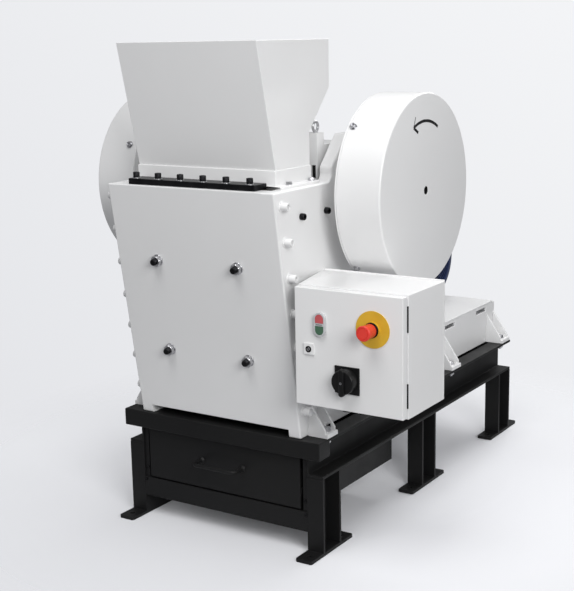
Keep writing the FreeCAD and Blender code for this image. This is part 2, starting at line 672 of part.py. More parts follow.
def motor_body():
    """The motor's frame with its feet and the shaft end that enters the belt guard."""
    back = MOTOR_FAN_END - MOTOR_FAN_LENGTH
    front = back - MOTOR_BODY_LENGTH
    centre = (front + back) / 2
    half = MOTOR_FOOT_SIZE / 2
    shaft_end = -GUARD_INNER - BELT_GUARD_SETBACK
    pieces = [disc("+X", vec(front, MOTOR_Y, MOTOR_Z), MOTOR_BODY_RADIUS, MOTOR_BODY_LENGTH),
              disc("+X", vec(shaft_end, MOTOR_Y, MOTOR_Z), MOTOR_SHAFT_RADIUS,
                   front - shaft_end + 1)]
    for x in (centre - MOTOR_FOOT_PITCH / 2, centre + MOTOR_FOOT_PITCH / 2):
        for y in (MOTOR_Y - MOTOR_FOOT_SPREAD / 2, MOTOR_Y + MOTOR_FOOT_SPREAD / 2):
            pieces.append(box((x - half, x + half), (y - half, y + half),
                              (MOTOR_FOOT_Z, MOTOR_FOOT_Z + 3 * MOTOR_FOOT_SIZE / 2)))
    return fuse(pieces)


def motor_fan_cover():
    start = MOTOR_FAN_END - MOTOR_FAN_LENGTH
    return disc("+X", vec(start, MOTOR_Y, MOTOR_Z), MOTOR_FAN_RADIUS, MOTOR_FAN_LENGTH)


def motor_terminal_box():
    length, width, height = TERMINAL_BOX
    centre = MOTOR_FAN_END - MOTOR_FAN_LENGTH - MOTOR_BODY_LENGTH / 2
    base = MOTOR_Z + MOTOR_BODY_RADIUS / 2
    block = box((centre - length / 2, centre + length / 2),
                (MOTOR_Y - width / 2, MOTOR_Y + width / 2),
                (base, MOTOR_Z + MOTOR_BODY_RADIUS + height))
    frame = disc("+X", vec(centre - length, MOTOR_Y, MOTOR_Z), MOTOR_BODY_RADIUS, 2 * length)
    return block.cut(frame)


# ---- control cabinet --------------------------------------------------------------------
def cabinet_body():
    """A sheet box open at the front, with a lip round the opening."""
    sheet = CABINET_SHEET
    back = CABINET_FRONT + CABINET_DEPTH
    shell = box((CABINET_LEFT, CABINET_RIGHT), (BODY_FRONT, back),
                (CABINET_BOTTOM, CABINET_TOP))
    inside = box((CABINET_LEFT + sheet, CABINET_RIGHT - sheet), (BODY_FRONT + sheet, back - sheet),
                 (CABINET_BOTTOM + sheet, CABINET_TOP - sheet))
    mouth = box((CABINET_LEFT + DOOR_LIP, CABINET_RIGHT - DOOR_LIP),
                (BODY_FRONT - 1, BODY_FRONT + sheet + 1),
                (CABINET_BOTTOM + DOOR_LIP, CABINET_TOP - DOOR_LIP))
    return shell.cut(inside).cut(mouth)


def cabinet_door():
    """A pan of sheet, open to the back."""
    sheet = CABINET_SHEET
    left, right = CABINET_LEFT + DOOR_INSET, CABINET_RIGHT - DOOR_INSET
    bottom, top = CABINET_BOTTOM + DOOR_INSET, CABINET_TOP - DOOR_INSET
    shell = box((left, right), (CABINET_FRONT, DOOR_BACK), (bottom, top))
    rims = [edge for edge in shell.Edges if edge.BoundBox.YMax < CABINET_FRONT + 1]
    shell = shell.makeFillet(DOOR_EDGE, rims)
    inside = box((left + sheet, right - sheet), (CABINET_FRONT + sheet, DOOR_BACK + 1),
                 (bottom + sheet, top - sheet))
    return shell.cut(inside)


def half_round(radius, low, high, y):
    """The part between two heights of an upright slot shape about the double button."""
    straight = BUTTON_HEIGHT + BUTTON_SPLIT + BEZEL_RIM - BEZEL_RADIUS
    slot = [box((BUTTON_X - radius, BUTTON_X + radius), y,
                (BUTTON_Z - straight, BUTTON_Z + straight))]
    for z in (BUTTON_Z - straight, BUTTON_Z + straight):
        slot.append(disc("+Y", vec(BUTTON_X, y[0], z), radius, y[1] - y[0]))
    span = box((BUTTON_X - radius, BUTTON_X + radius), y, (BUTTON_Z + low, BUTTON_Z + high))
    return fuse(slot).common(span)


def button_bezel():
    """The double push-button's frame, with a pocket for each button."""
    front = CABINET_FRONT - BEZEL_PROUD
    reach = BUTTON_HEIGHT + BUTTON_SPLIT + BEZEL_RIM
    shape = half_round(BEZEL_RADIUS, -reach, reach, (front, CABINET_FRONT))
    depth = (front - 1, front + BUTTON_POCKET)
    radius = BEZEL_RADIUS - BEZEL_RIM + BUTTON_GAP
    near = BUTTON_SPLIT - BUTTON_GAP
    shape = shape.cut(half_round(radius, near, reach, depth))
    return shape.cut(half_round(radius, -reach, -near, depth))


def push_button(side):
    """The upper (side 1) or lower (side -1) button."""
    front = CABINET_FRONT - BEZEL_PROUD
    depth = (front - BUTTON_GAP, front + BUTTON_POCKET - BUTTON_TRAVEL - BUTTON_GAP)
    span = sorted((side * BUTTON_SPLIT, side * (BUTTON_SPLIT + BUTTON_HEIGHT)))
    return half_round(BEZEL_RADIUS - BEZEL_RIM, span[0], span[1], depth)


def estop_disc():
    """The yellow disc and the collar that the mushroom button slides in."""
    centre = vec(ESTOP_X, CABINET_FRONT, ESTOP_Z)
    depth = ESTOP_DISC_THICK + ESTOP_COLLAR_LENGTH
    plate = disc("-Y", centre, ESTOP_DISC_RADIUS, ESTOP_DISC_THICK)
    collar = disc("-Y", centre, ESTOP_COLLAR_RADIUS, depth)
    bore = disc("-Y", centre, ESTOP_STEM_RADIUS + BUTTON_GAP, depth)
    return fuse([plate, collar]).cut(bore)


def estop_button():
    """A stem in the collar, a skirt in front of it and a head that widens to the front."""
    back = CABINET_FRONT - ESTOP_DISC_THICK - ESTOP_COLLAR_LENGTH - ESTOP_GAP
    half = ESTOP_HEAD_LENGTH / 2
    stem = disc("+Y", vec(ESTOP_X, back, ESTOP_Z), ESTOP_STEM_RADIUS,
                ESTOP_GAP + ESTOP_COLLAR_LENGTH / 2)
    skirt = disc("-Y", vec(ESTOP_X, back, ESTOP_Z), ESTOP_SKIRT_RADIUS, half)
    head = Part.makeCone(ESTOP_SKIRT_RADIUS, ESTOP_HEAD_RADIUS, half,
                         vec(ESTOP_X, back - half, ESTOP_Z), vec(0, -1, 0))
    rims = [edge for edge in head.Edges
            if edge.BoundBox.YMax < back - ESTOP_HEAD_LENGTH + 1]
    return fuse([stem, skirt, head.makeFillet(ESTOP_HEAD_LENGTH / 9, rims)])


def switch_plate():
    half = SWITCH_PLATE / 2
    return box((SWITCH_X - half, SWITCH_X + half),
               (CABINET_FRONT - SWITCH_PLATE_THICK, CABINET_FRONT),
               (SWITCH_Z - half, SWITCH_Z + half))


def switch_knob():
    """A round knob with a grip across it."""
    base = CABINET_FRONT - SWITCH_PLATE_THICK - BUTTON_GAP
    front = base - SWITCH_KNOB_LENGTH
    width, height, proud = SWITCH_GRIP
    knob = disc("-Y", vec(SWITCH_X, base, SWITCH_Z), SWITCH_KNOB_RADIUS, SWITCH_KNOB_LENGTH)
    grip = box((SWITCH_X - width / 2, SWITCH_X + width / 2), (front - proud, front + 1),
               (SWITCH_Z - height / 2, SWITCH_Z + height / 2))
    return fuse([knob, grip])


def lock_plate():
    half = LOCK_PLATE / 2
    front = CABINET_FRONT - LOCK_PLATE_THICK
    plate = box((LOCK_X - half, LOCK_X + half), (front, CABINET_FRONT),
                (LOCK_Z - half, LOCK_Z + half))
    return plate.cut(disc("+Y", vec(LOCK_X, front, LOCK_Z), LOCK_RADIUS + BUTTON_GAP,
                          LOCK_PLATE_THICK))


def lock_cylinder():
    return disc("-Y", vec(LOCK_X, CABINET_FRONT - BUTTON_GAP, LOCK_Z), LOCK_RADIUS,
                LOCK_PLATE_THICK - BUTTON_GAP + LOCK_PROUD)


def cabinet_brackets():
    """A plate behind the cabinet with two gussets between the side plate and the cabinet."""
    back = CABINET_FRONT + CABINET_DEPTH
    pieces = [box((BODY_HALF, CABINET_RIGHT), (back, back + MOUNT_THICK),
                  (CABINET_BOTTOM, CABINET_TOP + MOUNT_RISE))]
    outline = [(CABINET_LEFT, -GUSSET_FRONT), (CABINET_LEFT, back), (BODY_HALF, back),
               (BODY_HALF, back - GUSSET_ROOT)]
    for z in (CABINET_BOTTOM, CABINET_TOP - GUSSET_THICK):
        pieces.append(prism_z(outline, (z, z + GUSSET_THICK)))
    return fuse(pieces)


def cable_glands():
    return Part.makeCompound([disc("-Z", vec(x, GLAND_Y, CABINET_BOTTOM), GLAND_RADIUS,
                                   GLAND_LENGTH) for x in GLAND_X])


# ---- all pieces -------------------------------------------------------------------------
for row, place in enumerate(("front", "middle", "rear")):
    save_both(place + "_legs", leg(row))
save_pair("long_beam", long_beam())
save("front_cross_beam", front_cross_beam())
save("rear_cross_beam", rear_cross_beam())
save("front_apron", front_apron())
save("drawer_housing", drawer_housing())
save("drawer", drawer())
save("drawer_handle", drawer_handle())
save_pair("side_plate", side_plate())
save("front_wall", front_wall())
save("fixed_jaw_plate", fixed_jaw_plate())
save("rear_cover", rear_cover())
save("moving_jaw_plate", moving_jaw_plate())
save("swing_jaw", swing_jaw())
save("lifting_eye", lifting_eye())
save("main_shaft", main_shaft())
save_both("bearing_housings", bearing_housing())
save("clamp_bar", clamp_bar())
save("crusher_feet", both_sides([crusher_foot(front) for front in BODY_FOOT_Y]))
save("hopper", hopper())
save_pair("flywheel_guard", flywheel_guard())
save_both("guard_backs", guard_back())
save("belt_guard", belt_guard())
save("rear_housing", rear_housing())
save("housing_top_plate", housing_top_plate())
save("housing_feet", both_sides([ribbed_foot(REAR_BOX_FRONT + along, BOX_FOOT_LENGTH,
                                             BOX_FOOT_RISE) for along in BOX_FEET_ALONG]))
save("motor_rails", motor_rails())
save("motor_body", motor_body())
save("motor_fan_cover", motor_fan_cover())
save("motor_terminal_box", motor_terminal_box())
save("cabinet_brackets", cabinet_brackets())
save("cabinet_body", cabinet_body())
save("cabinet_door", cabinet_door())
save("button_bezel", button_bezel())
save("start_button", push_button(-1))
save("stop_button", push_button(1))
save("estop_disc", estop_disc())
save("estop_button", estop_button())
save("switch_plate", switch_plate())
save("switch_knob", switch_knob())
save("lock_plate", lock_plate())
save("lock_cylinder", lock_cylinder())
save("cable_glands", cable_glands())
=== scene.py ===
"""Looks of the laboratory jaw crusher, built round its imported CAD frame.

Metres in the CAD's own frame: +X towards the control cabinet, +Y towards the motor, +Z up.
"""

import json
import math

import bmesh
import bpy
from mathutils import Matrix, Vector


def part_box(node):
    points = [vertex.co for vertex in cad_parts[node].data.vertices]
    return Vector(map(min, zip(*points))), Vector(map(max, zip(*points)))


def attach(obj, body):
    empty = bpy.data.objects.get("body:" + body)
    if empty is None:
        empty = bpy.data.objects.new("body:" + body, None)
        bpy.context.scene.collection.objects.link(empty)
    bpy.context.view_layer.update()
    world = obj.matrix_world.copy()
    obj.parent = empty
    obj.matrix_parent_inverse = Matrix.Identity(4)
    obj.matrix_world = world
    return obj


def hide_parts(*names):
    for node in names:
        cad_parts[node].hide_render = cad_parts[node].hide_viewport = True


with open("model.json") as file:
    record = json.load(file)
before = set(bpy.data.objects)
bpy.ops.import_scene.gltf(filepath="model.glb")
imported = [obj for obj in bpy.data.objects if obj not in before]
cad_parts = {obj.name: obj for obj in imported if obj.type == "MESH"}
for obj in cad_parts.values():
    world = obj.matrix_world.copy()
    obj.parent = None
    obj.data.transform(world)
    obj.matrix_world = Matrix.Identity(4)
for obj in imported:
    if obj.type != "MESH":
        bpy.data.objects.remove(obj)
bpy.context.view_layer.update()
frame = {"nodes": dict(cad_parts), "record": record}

MM = 0.001
NODES = frame["nodes"]
SLOT_OF = {part["node"]: part["material_slot"] for part in frame["record"]["subparts"]}
BODY_OF = {node: body for body, nodes in frame["record"]["behaviour"]["bodies"].items()
           for node in nodes}
FRONT_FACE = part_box("front_apron")[0].y    # front face of the front legs


def beside(x, y, z):
    """A place at x in metres, and in mm behind the legs' front face and above the floor."""
    return Vector((x, FRONT_FACE + y * MM, z * MM))


def at(x, y, z):
    """A place in mm from the middle plane, the legs' front face and the floor."""
    return beside(x * MM, y, z)


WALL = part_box("front_wall")
WALL_FOOT_Y = -8.0                     # the wall's foot stands this far before the legs' front
SIDE_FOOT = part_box("side_plate_right")[0].z
LEAN = math.atan2(FRONT_FACE + WALL_FOOT_Y * MM - WALL[0].y, WALL[1].z - SIDE_FOOT)
BEHIND_SEAM = WALL[1].x + 1.5 * MM     # x past the seam between front wall and side plates


# ---- materials --------------------------------------------------------------------------
class Nodes:
    """Short calls for building one material's node tree."""

    def __init__(self, name):
        self.material = bpy.data.materials.new(name)
        self.material.use_nodes = True
        self.tree = self.material.node_tree
        self.shader = self.tree.nodes["Principled BSDF"]
        self.place = self.add("ShaderNodeTexCoord").outputs["Object"]

    def add(self, kind, **values):
        node = self.tree.nodes.new(kind)
        for key, value in values.items():
            setattr(node, key, value)
        return node

    def link(self, source, target):
        self.tree.links.new(source, target)

    def noise(self, scale, detail=4.0, roughness=0.5, finer=None):
        """Noise over the piece, in features per metre, times finer on each axis if asked."""
        noise = self.add("ShaderNodeTexNoise")
        noise.inputs["Scale"].default_value = scale
        noise.inputs["Detail"].default_value = detail
        noise.inputs["Roughness"].default_value = roughness
        place = self.place
        if finer:
            mapping = self.add("ShaderNodeMapping")
            mapping.inputs["Scale"].default_value = finer
            self.link(place, mapping.inputs["Vector"])
            place = mapping.outputs["Vector"]
        self.link(place, noise.inputs["Vector"])
        return noise.outputs["Fac"]

    def spread(self, factor, low, high, start=0.3, end=0.7):
        """A factor's range start to end spread over low to high."""
        node = self.add("ShaderNodeMapRange")
        for name, value in (("From Min", start), ("From Max", end), ("To Min", low),
                            ("To Max", high)):
            node.inputs[name].default_value = value
        self.link(factor, node.inputs["Value"])
        return node.outputs["Result"]

    def mix(self, factor, first, second):
        """A blend of two colours, each a tuple or a socket."""
        node = self.add("ShaderNodeMix", data_type="RGBA")
        self.link(factor, node.inputs["Factor"])
        for name, colour in (("A", first), ("B", second)):
            socket = [s for s in node.inputs if s.name == name and s.type == "RGBA"][0]
            if isinstance(colour, tuple):
                socket.default_value = (*colour, 1.0)
            else:
                self.link(colour, socket)
        return [s for s in node.outputs if s.type == "RGBA"][0]

    def upward(self):
        """0 to 1 as the surface turns to face up."""
        split = self.add("ShaderNodeSeparateXYZ")
        self.link(self.add("ShaderNodeNewGeometry").outputs["Normal"], split.inputs["Vector"])
        return self.spread(split.outputs["Z"], 0.0, 1.0, start=0.5, end=0.95)

    def multiply(self, first, second):
        node = self.add("ShaderNodeMath", operation="MULTIPLY")
        self.link(first, node.inputs[0])
        self.link(second, node.inputs[1])
        return node.outputs["Value"]

    def bump(self, height, depth, strength=1.0, under=None):
        node = self.add("ShaderNodeBump")
        node.inputs["Strength"].default_value = strength
        node.inputs["Distance"].default_value = depth
        self.link(height, node.inputs["Height"])
        if under is not None:
            self.link(under, node.inputs["Normal"])
        return node.outputs["Normal"]

    def set(self, **values):
        """Plain numbers on the shader's sockets, by name with _ for a space."""
        for key, value in values.items():
            self.shader.inputs[key.replace("_", " ")].default_value = value


def enamel(name, colour, shade, rough, dust=None, coat=0.0, specular=0.5):
    """Sprayed enamel: slow drift of tone, orange peel, and dust on what faces up."""
    n = Nodes(name)
    drift = n.spread(n.noise(scale=2.3, detail=3.0), 0.0, 1.0, start=0.35, end=0.65)
    flecks = n.noise(scale=160.0, detail=6.0, roughness=0.7)
    tone = n.mix(n.spread(flecks, 0.0, 0.35, start=0.55, end=0.8), n.mix(drift, colour, shade),
                 shade)
    if dust:
        patches = n.spread(n.noise(scale=14.0, detail=6.0, roughness=0.65), 0.05, 0.5)
        tone = n.mix(n.multiply(n.upward(), patches), tone, dust)
    n.link(tone, n.shader.inputs["Base Color"])
    n.link(n.spread(n.noise(scale=9.0, detail=5.0), *rough), n.shader.inputs["Roughness"])
    waves = n.bump(n.noise(scale=26.0, detail=2.0), depth=0.18 * MM, strength=0.35)
    peel = n.bump(n.noise(scale=420.0, detail=3.0), depth=0.03 * MM, strength=0.5, under=waves)
    n.link(peel, n.shader.inputs["Normal"])
    n.set(Specular_IOR_Level=specular, Coat_Weight=coat, Coat_Roughness=0.12)
    return n.material


def plastic(name, colour, shade, rough, grain=900.0, specular=0.5):
    """Moulded plastic: fine spark grain and slight drift of tone."""
    n = Nodes(name)
    tone = n.mix(n.spread(n.noise(scale=35.0), 0.0, 1.0), colour, shade)
    n.link(tone, n.shader.inputs["Base Color"])
    n.link(n.spread(n.noise(scale=60.0), *rough), n.shader.inputs["Roughness"])
    sparks = n.bump(n.noise(scale=grain, detail=2.0), depth=0.04 * MM, strength=0.6)
    n.link(sparks, n.shader.inputs["Normal"])
    n.set(Specular_IOR_Level=specular)
    return n.material


def metal(name, colour, shade, rough, finer=(1.0, 1.0, 1.0)):
    """Bare or plated metal with turning or grinding marks across the finer axis."""
    n = Nodes(name)
    marks = n.noise(scale=700.0, detail=5.0, roughness=0.6, finer=finer)
    clouds = n.spread(n.noise(scale=30.0, detail=5.0, roughness=0.6), 0.0, 1.0)
    tone = n.mix(n.spread(marks, 0.0, 0.4), n.mix(clouds, colour, shade), shade)
    n.link(tone, n.shader.inputs["Base Color"])
    n.link(n.spread(marks, *rough), n.shader.inputs["Roughness"])
    n.link(n.bump(marks, depth=0.03 * MM, strength=0.6), n.shader.inputs["Normal"])
    n.set(Metallic=1.0)
    return n.material


def cast(name, colour, shade):
    """Cast manganese steel: coarse sand skin with worn, brighter high spots."""
    n = Nodes(name)
    skin = n.noise(scale=120.0, detail=8.0, roughness=0.7)
    n.link(n.mix(n.spread(skin, 0.0, 1.0), shade, colour), n.shader.inputs["Base Color"])
    n.link(n.spread(skin, 0.7, 0.45), n.shader.inputs["Roughness"])
    n.link(n.bump(skin, depth=0.6 * MM, strength=0.8), n.shader.inputs["Normal"])
    n.set(Metallic=0.7)
    return n.material


MATERIALS = {
    "white_paint": enamel("white_enamel", (0.80, 0.80, 0.80), (0.775, 0.775, 0.775),
                          (0.30, 0.42), coat=0.15),
    "black_paint": enamel("black_enamel", (0.0075, 0.0075, 0.008), (0.010, 0.010, 0.010),
                          (0.42, 0.58), dust=(0.015, 0.015, 0.015), specular=0.18),
    "blue_paint": enamel("blue_enamel", (0.010, 0.020, 0.075), (0.014, 0.026, 0.085),
                         (0.28, 0.42), coat=0.2),
    "black_steel": metal("black_oxide_steel", (0.035, 0.035, 0.037), (0.018, 0.018, 0.02),
                         (0.32, 0.5)),
    "jaw_steel": cast("manganese_casting", (0.30, 0.29, 0.28), (0.13, 0.12, 0.115)),
    "bright_steel": metal("zinc_plated_steel", (0.62, 0.62, 0.63), (0.48, 0.48, 0.50),
                          (0.22, 0.38), finer=(1.0, 1.0, 6.0)),
    "lock_metal": metal("nickel_plate", (0.55, 0.55, 0.57), (0.40, 0.40, 0.42), (0.2, 0.32)),
    "grey_plastic": plastic("grey_moulding", (0.66, 0.67, 0.68), (0.60, 0.61, 0.62),
                            (0.30, 0.40)),
    "green_plastic": plastic("green_moulding", (0.012, 0.16, 0.085), (0.010, 0.13, 0.07),
                             (0.28, 0.38)),
    "red_plastic": plastic("red_moulding", (0.78, 0.052, 0.035), (0.70, 0.042, 0.03),
                           (0.28, 0.40)),
    "yellow_plastic": plastic("yellow_moulding", (0.70, 0.43, 0.03), (0.63, 0.38, 0.025),
                              (0.35, 0.5)),
    "black_plastic": plastic("black_moulding", (0.004, 0.004, 0.0045), (0.007, 0.007, 0.007),
                             (0.34, 0.48), specular=0.25),
}


# ---- mesh helpers -----------------------------------------------------------------------
def circle(diameter, n=32):
    return [(diameter / 2 * math.cos(2 * math.pi * i / n),
             diameter / 2 * math.sin(2 * math.pi * i / n)) for i in range(n)]


def hexagon(flats, n=36):
    """n points on a hexagon at even angles, so that it joins a circle of n points."""
    points = []
    for i in range(n):
        angle = 2 * math.pi * i / n
        radius = flats / 2 / math.cos(angle % (math.pi / 3) - math.pi / 6)
        points.append((radius * math.cos(angle), radius * math.sin(angle)))
    return points


def plate(width, height, radius, n=32):
    """A rectangle with round corners; a slot or circle where the radius reaches a half."""
    points = []
    for i in range(n):
        quarter, step = divmod(i, n // 4)
        angle = math.pi / 2 * (quarter + step / (n // 4 - 1))
        x = (width / 2 - radius) * (1 if quarter in (0, 3) else -1)
        y = (height / 2 - radius) * (1 if quarter in (0, 1) else -1)
        points.append((x + radius * math.cos(angle), y + radius * math.sin(angle)))
    return points


def towards(place, direction, spin=0.0):
    """The matrix that stands a shape's +Z along a direction at a place."""
    turn = Vector(direction).normalized().to_track_quat("Z", "Y").to_matrix().to_4x4()
    return Matrix.Translation(Vector(place)) @ turn @ Matrix.Rotation(spin, 4, "Z")


def loft(bm, rings, matrix, closed=False):
    """Skins (outline, height) rings in turn; the ends are capped, or joined when closed."""
    loops = [[bm.verts.new(matrix @ Vector((x, y, z))) for x, y in outline]
             for outline, z in rings]
    n = len(loops[0])
    pairs = list(zip(loops, loops[1:]))
    if closed:
        pairs.append((loops[-1], loops[0]))
    for low, high in pairs:
        for i in range(n):
            j = (i + 1) % n
            bm.faces.new((low[i], low[j], high[j], high[i]))
    if not closed:
        bm.faces.new(loops[0][::-1])
        bm.faces.new(loops[-1])


def finish_mesh(name, bm, body, slot, material=None, sharp=35.0):
    """Turns a bmesh into a piece that rides on a body."""
    bmesh.ops.remove_doubles(bm, verts=bm.verts, dist=0.001 * MM)
    bmesh.ops.recalc_face_normals(bm, faces=bm.faces)
    mesh = bpy.data.meshes.new(name)
    bm.to_mesh(mesh)
    bm.free()
    mesh.polygons.foreach_set("use_smooth", [True] * len(mesh.polygons))
    mesh.set_sharp_from_angle(angle=math.radians(sharp))
    mesh.materials.append(material or MATERIALS[slot])
    piece = bpy.data.objects.new(name, mesh)
    bpy.context.scene.collection.objects.link(piece)
    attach(piece, body)
    return piece


WELD = 0.02 * MM                        # corners nearer than this are one corner
FLAT, EDGE = math.radians(0.6), math.radians(28)   # under FLAT one face, over EDGE a sharp edge


def soften(node, radius, wanted=None, segments=3):
    """A copy of a CAD node with its sharp edges rounded in mm, which stands for the node."""
    bm = bmesh.new()
    bm.from_mesh(NODES[node].data)
    bmesh.ops.remove_doubles(bm, verts=bm.verts, dist=WELD)
    bmesh.ops.dissolve_limit(bm, angle_limit=FLAT, verts=bm.verts, edges=bm.edges)
    edges = [e for e in bm.edges if e.is_manifold and e.calc_face_angle() > EDGE
             and (wanted is None or wanted(e))]
    bmesh.ops.bevel(bm, geom=edges, offset=radius * MM, offset_type="OFFSET", segments=segments,
                    profile=0.5, affect="EDGES", clamp_overlap=True, loop_slide=True)
    piece = finish_mesh(node + "_rounded", bm, BODY_OF[node], SLOT_OF[node])
    even = piece.modifiers.new("even_normals", "WEIGHTED_NORMAL")
    even.keep_sharp = True
    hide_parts(node)
    return piece


def middle(node):
    low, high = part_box(node)
    return (low + high) / 2


# ---- screws and nuts, in millimetres, each along +Z from the face it sits on ----------------
def washer(bm, matrix, outer, inner, thick):
    outer, inner, thick = outer * MM, inner * MM, thick * MM
    edge = thick * 0.25
    loft(bm, [(circle(inner), 0.0), (circle(outer), 0.0), (circle(outer), thick - edge),
              (circle(outer - 2 * edge), thick), (circle(inner), thick)], matrix, closed=True)


def hex_head(bm, matrix, flats, height, base=0.0):
    """A hexagon head or nut with a turned chamfer."""
    flats, height, base = flats * MM, height * MM, base * MM
    loft(bm, [(hexagon(flats), base), (hexagon(flats), base + height * 0.86),
              (circle(flats * 0.97, 36), base + height)], matrix)


def socket_head(bm, matrix, diameter, height, socket, base=0.0, knurl=0.0):
    """A cylinder head with a hexagon socket, and fine ribs round it when knurl is set."""
    diameter, height, socket, base = diameter * MM, height * MM, socket * MM, base * MM
    n = 72 if knurl else 36
    edge = height * 0.10
    side = circle(diameter, n)
    if knurl:
        side = [(x * (1 - knurl * (i % 2)), y * (1 - knurl * (i % 2)))
                for i, (x, y) in enumerate(side)]
    loft(bm, [(circle(diameter * 0.96, n), base), (side, base + edge),
              (side, base + height - edge), (circle(diameter * 0.90, n), base + height),
              (circle(socket * 1.22, n), base + height),
              (hexagon(socket, n), base + height - edge * 0.6),
              (hexagon(socket, n), base + height * 0.45)], matrix)


def thread(bm, matrix, diameter, start, end, pitch):
    """A threaded rod end with a chamfered tip."""
    diameter, start, end, pitch = diameter * MM, start * MM, end * MM, pitch * MM
    core, crest, tip = (circle(diameter * share, 24) for share in (0.89, 1.0, 0.86))
    rings = []
    z = start
    while z < end - pitch:
        rings += [(core, z), (crest, z + pitch * 0.4), (crest, z + pitch * 0.55)]
        z += pitch
    rings += [(core, z), (tip, end)]
    loft(bm, rings, matrix)


# ---- rounded copies of the CAD nodes -------------------------------------------------------
def off_the_seam(edge):
    """Keeps the seam between front wall and side plates flush: only outer edges are rounded."""
    return sum(abs(v.co.x) for v in edge.verts) / 2 > BEHIND_SEAM


def along_x(edge):
    return abs(edge.verts[0].co.x - edge.verts[1].co.x) > 50 * MM


EDGE_RADII = {
    "front_legs": 2.0, "middle_legs": 2.0, "rear_legs": 2.0, "long_beam_left": 2.0,
    "long_beam_right": 2.0, "front_cross_beam": 3.5, "rear_cross_beam": 2.0, "front_apron": 1.2,
    "drawer_housing": 0.8, "drawer": 1.0, "clamp_bar": 1.5, "crusher_feet": 1.5,
    "housing_feet": 1.5, "hopper": 1.2, "rear_cover": 1.5, "belt_guard": 4.0,
    "rear_housing": 2.0, "housing_top_plate": 1.5, "motor_rails": 2.0, "bearing_housings": 3.0,
    "cabinet_brackets": 2.0, "cabinet_body": 2.0, "cabinet_door": 0.5,
    "motor_terminal_box": 4.0,
}
soften("side_plate_right", 5.0, off_the_seam, 4)
soften("side_plate_left", 5.0, off_the_seam, 4)
soften("front_wall", 3.0, along_x, 4)
for node, radius in EDGE_RADII.items():
    soften(node, radius)


# ---- boxes, turned shapes and strokes ---------------------------------------------------------
UP, DOWN, FRONT = (0, 0, 1), (0, 0, -1), (0, -1, 0)


def block(bm, low, high, radius, edge):
    """A box between two corners; the radius of its upright edges and its bevel are in mm."""
    radius, edge = radius * MM, edge * MM
    size = high - low
    matrix = Matrix.Translation(Vector(((low.x + high.x) / 2, (low.y + high.y) / 2, low.z)))
    small = plate(size.x - 2 * edge, size.y - 2 * edge, max(radius - edge, edge))
    full = plate(size.x, size.y, radius)
    loft(bm, [(small, 0.0), (full, edge), (full, size.z - edge), (small, size.z)], matrix)


def turned(name, body, slot, matrix, profile, n=64, material=None):
    """A turned piece from (diameter, height) pairs along the matrix's +Z, in millimetres."""
    bm = bmesh.new()
    loft(bm, [(circle(d * MM, n), h * MM) for d, h in profile], matrix)
    return finish_mesh(name, bm, body, slot, material)


def ribbon(bm, path, width, low, high):
    """A flat stroke along (y, z) points on a face square to X, from x low to x high."""
    rows = []
    for i, (y, z) in enumerate(path):
        before, after = path[max(i - 1, 0)], path[min(i + 1, len(path) - 1)]
        way = Vector((after[0] - before[0], after[1] - before[1])).normalized()
        side = Vector((-way.y, way.x)) * width / 2
        left, right = (y + side.x, z + side.y), (y - side.x, z - side.y)
        rows.append([bm.verts.new((x, *corner)) for x, corner in
                     ((low, left), (low, right), (high, right), (high, left))])
    for first, second in zip(rows, rows[1:]):
        for i in range(4):
            j = (i + 1) % 4
            bm.faces.new((first[i], first[j], second[j], second[i]))
    bm.faces.new(rows[0][::-1])
    bm.faces.new(rows[-1])


# ---- crusher body ---------------------------------------------------------------------------
FACE_OUT = Vector((0.0, -math.cos(LEAN), -math.sin(LEAN)))
TIE_X, TIE_HEIGHTS = 127.0, (513.0, 761.0)
SIDE_SCREW_HEIGHTS = (384.0, 473.0, 560.0, 649.0, 742.0, 834.0, 924.0)
SIDE_SCREW_INSET = 27.0                          # behind the leaning front
UPPER_SCREWS = ((10.0, 888.0), (128.5, 888.5))   # (y, z)
FLANGE_SCREWS = ((224.0, 14.0), (227.0, 116.0))  # (x, y)
FLANGE_THICK = 6.0
COLLAR_X, COLLAR_FRONT, COLLAR_BACK = 217.5, -36.0, 130.5
COLLAR_TOP, COLLAR_THICK = 1004.0, 3.0


def leaning_y(z):
    """How far the leaning front stands behind the legs' front face at a height, in mm."""
    return WALL_FOOT_Y - (z - SIDE_FOOT / MM) * math.tan(LEAN)


def clamp_screws():
    """Six knurled cap screws with washers in a row on the clamp bar."""
    half_pitch, shift, inset = 35.6, -2.0, 12.5
    low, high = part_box("clamp_bar")
    screws, washers = bmesh.new(), bmesh.new()
    for step in (-5, -3, -1, 1, 3, 5):
        place = Vector(((step * half_pitch + shift) * MM, low.y + inset * MM, high.z))
        matrix = towards(place, UP, 0.4 * step)
        washer(washers, matrix, outer=22.0, inner=12.0, thick=2.0)
        socket_head(screws, matrix, diameter=17.0, height=14.0, socket=9.0, base=2.0, knurl=0.05)
    finish_mesh("clamp_bar_screws", screws, "base", "black_steel")
    finish_mesh("clamp_bar_washers", washers, "base", "bright_steel")


def tie_bolts():
    """Four rod ends through the front wall, each with a washer and a nut."""
    washers, nuts, rods = bmesh.new(), bmesh.new(), bmesh.new()
    for x in (-TIE_X, TIE_X):
        for z in TIE_HEIGHTS:
            matrix = towards(at(x, leaning_y(z), z), FACE_OUT, 0.2 + x * z)
            washer(washers, matrix, outer=32.0, inner=18.0, thick=3.0)
            hex_head(nuts, matrix, flats=27.0, height=11.0, base=3.0)
            thread(rods, matrix, diameter=18.0, start=12.0, end=24.0, pitch=2.5)
    finish_mesh("tie_rod_washers", washers, "base", "bright_steel")
    finish_mesh("tie_rod_nuts", nuts, "base", "bright_steel")
    finish_mesh("tie_rod_ends", rods, "base", "black_steel", sharp=60.0)


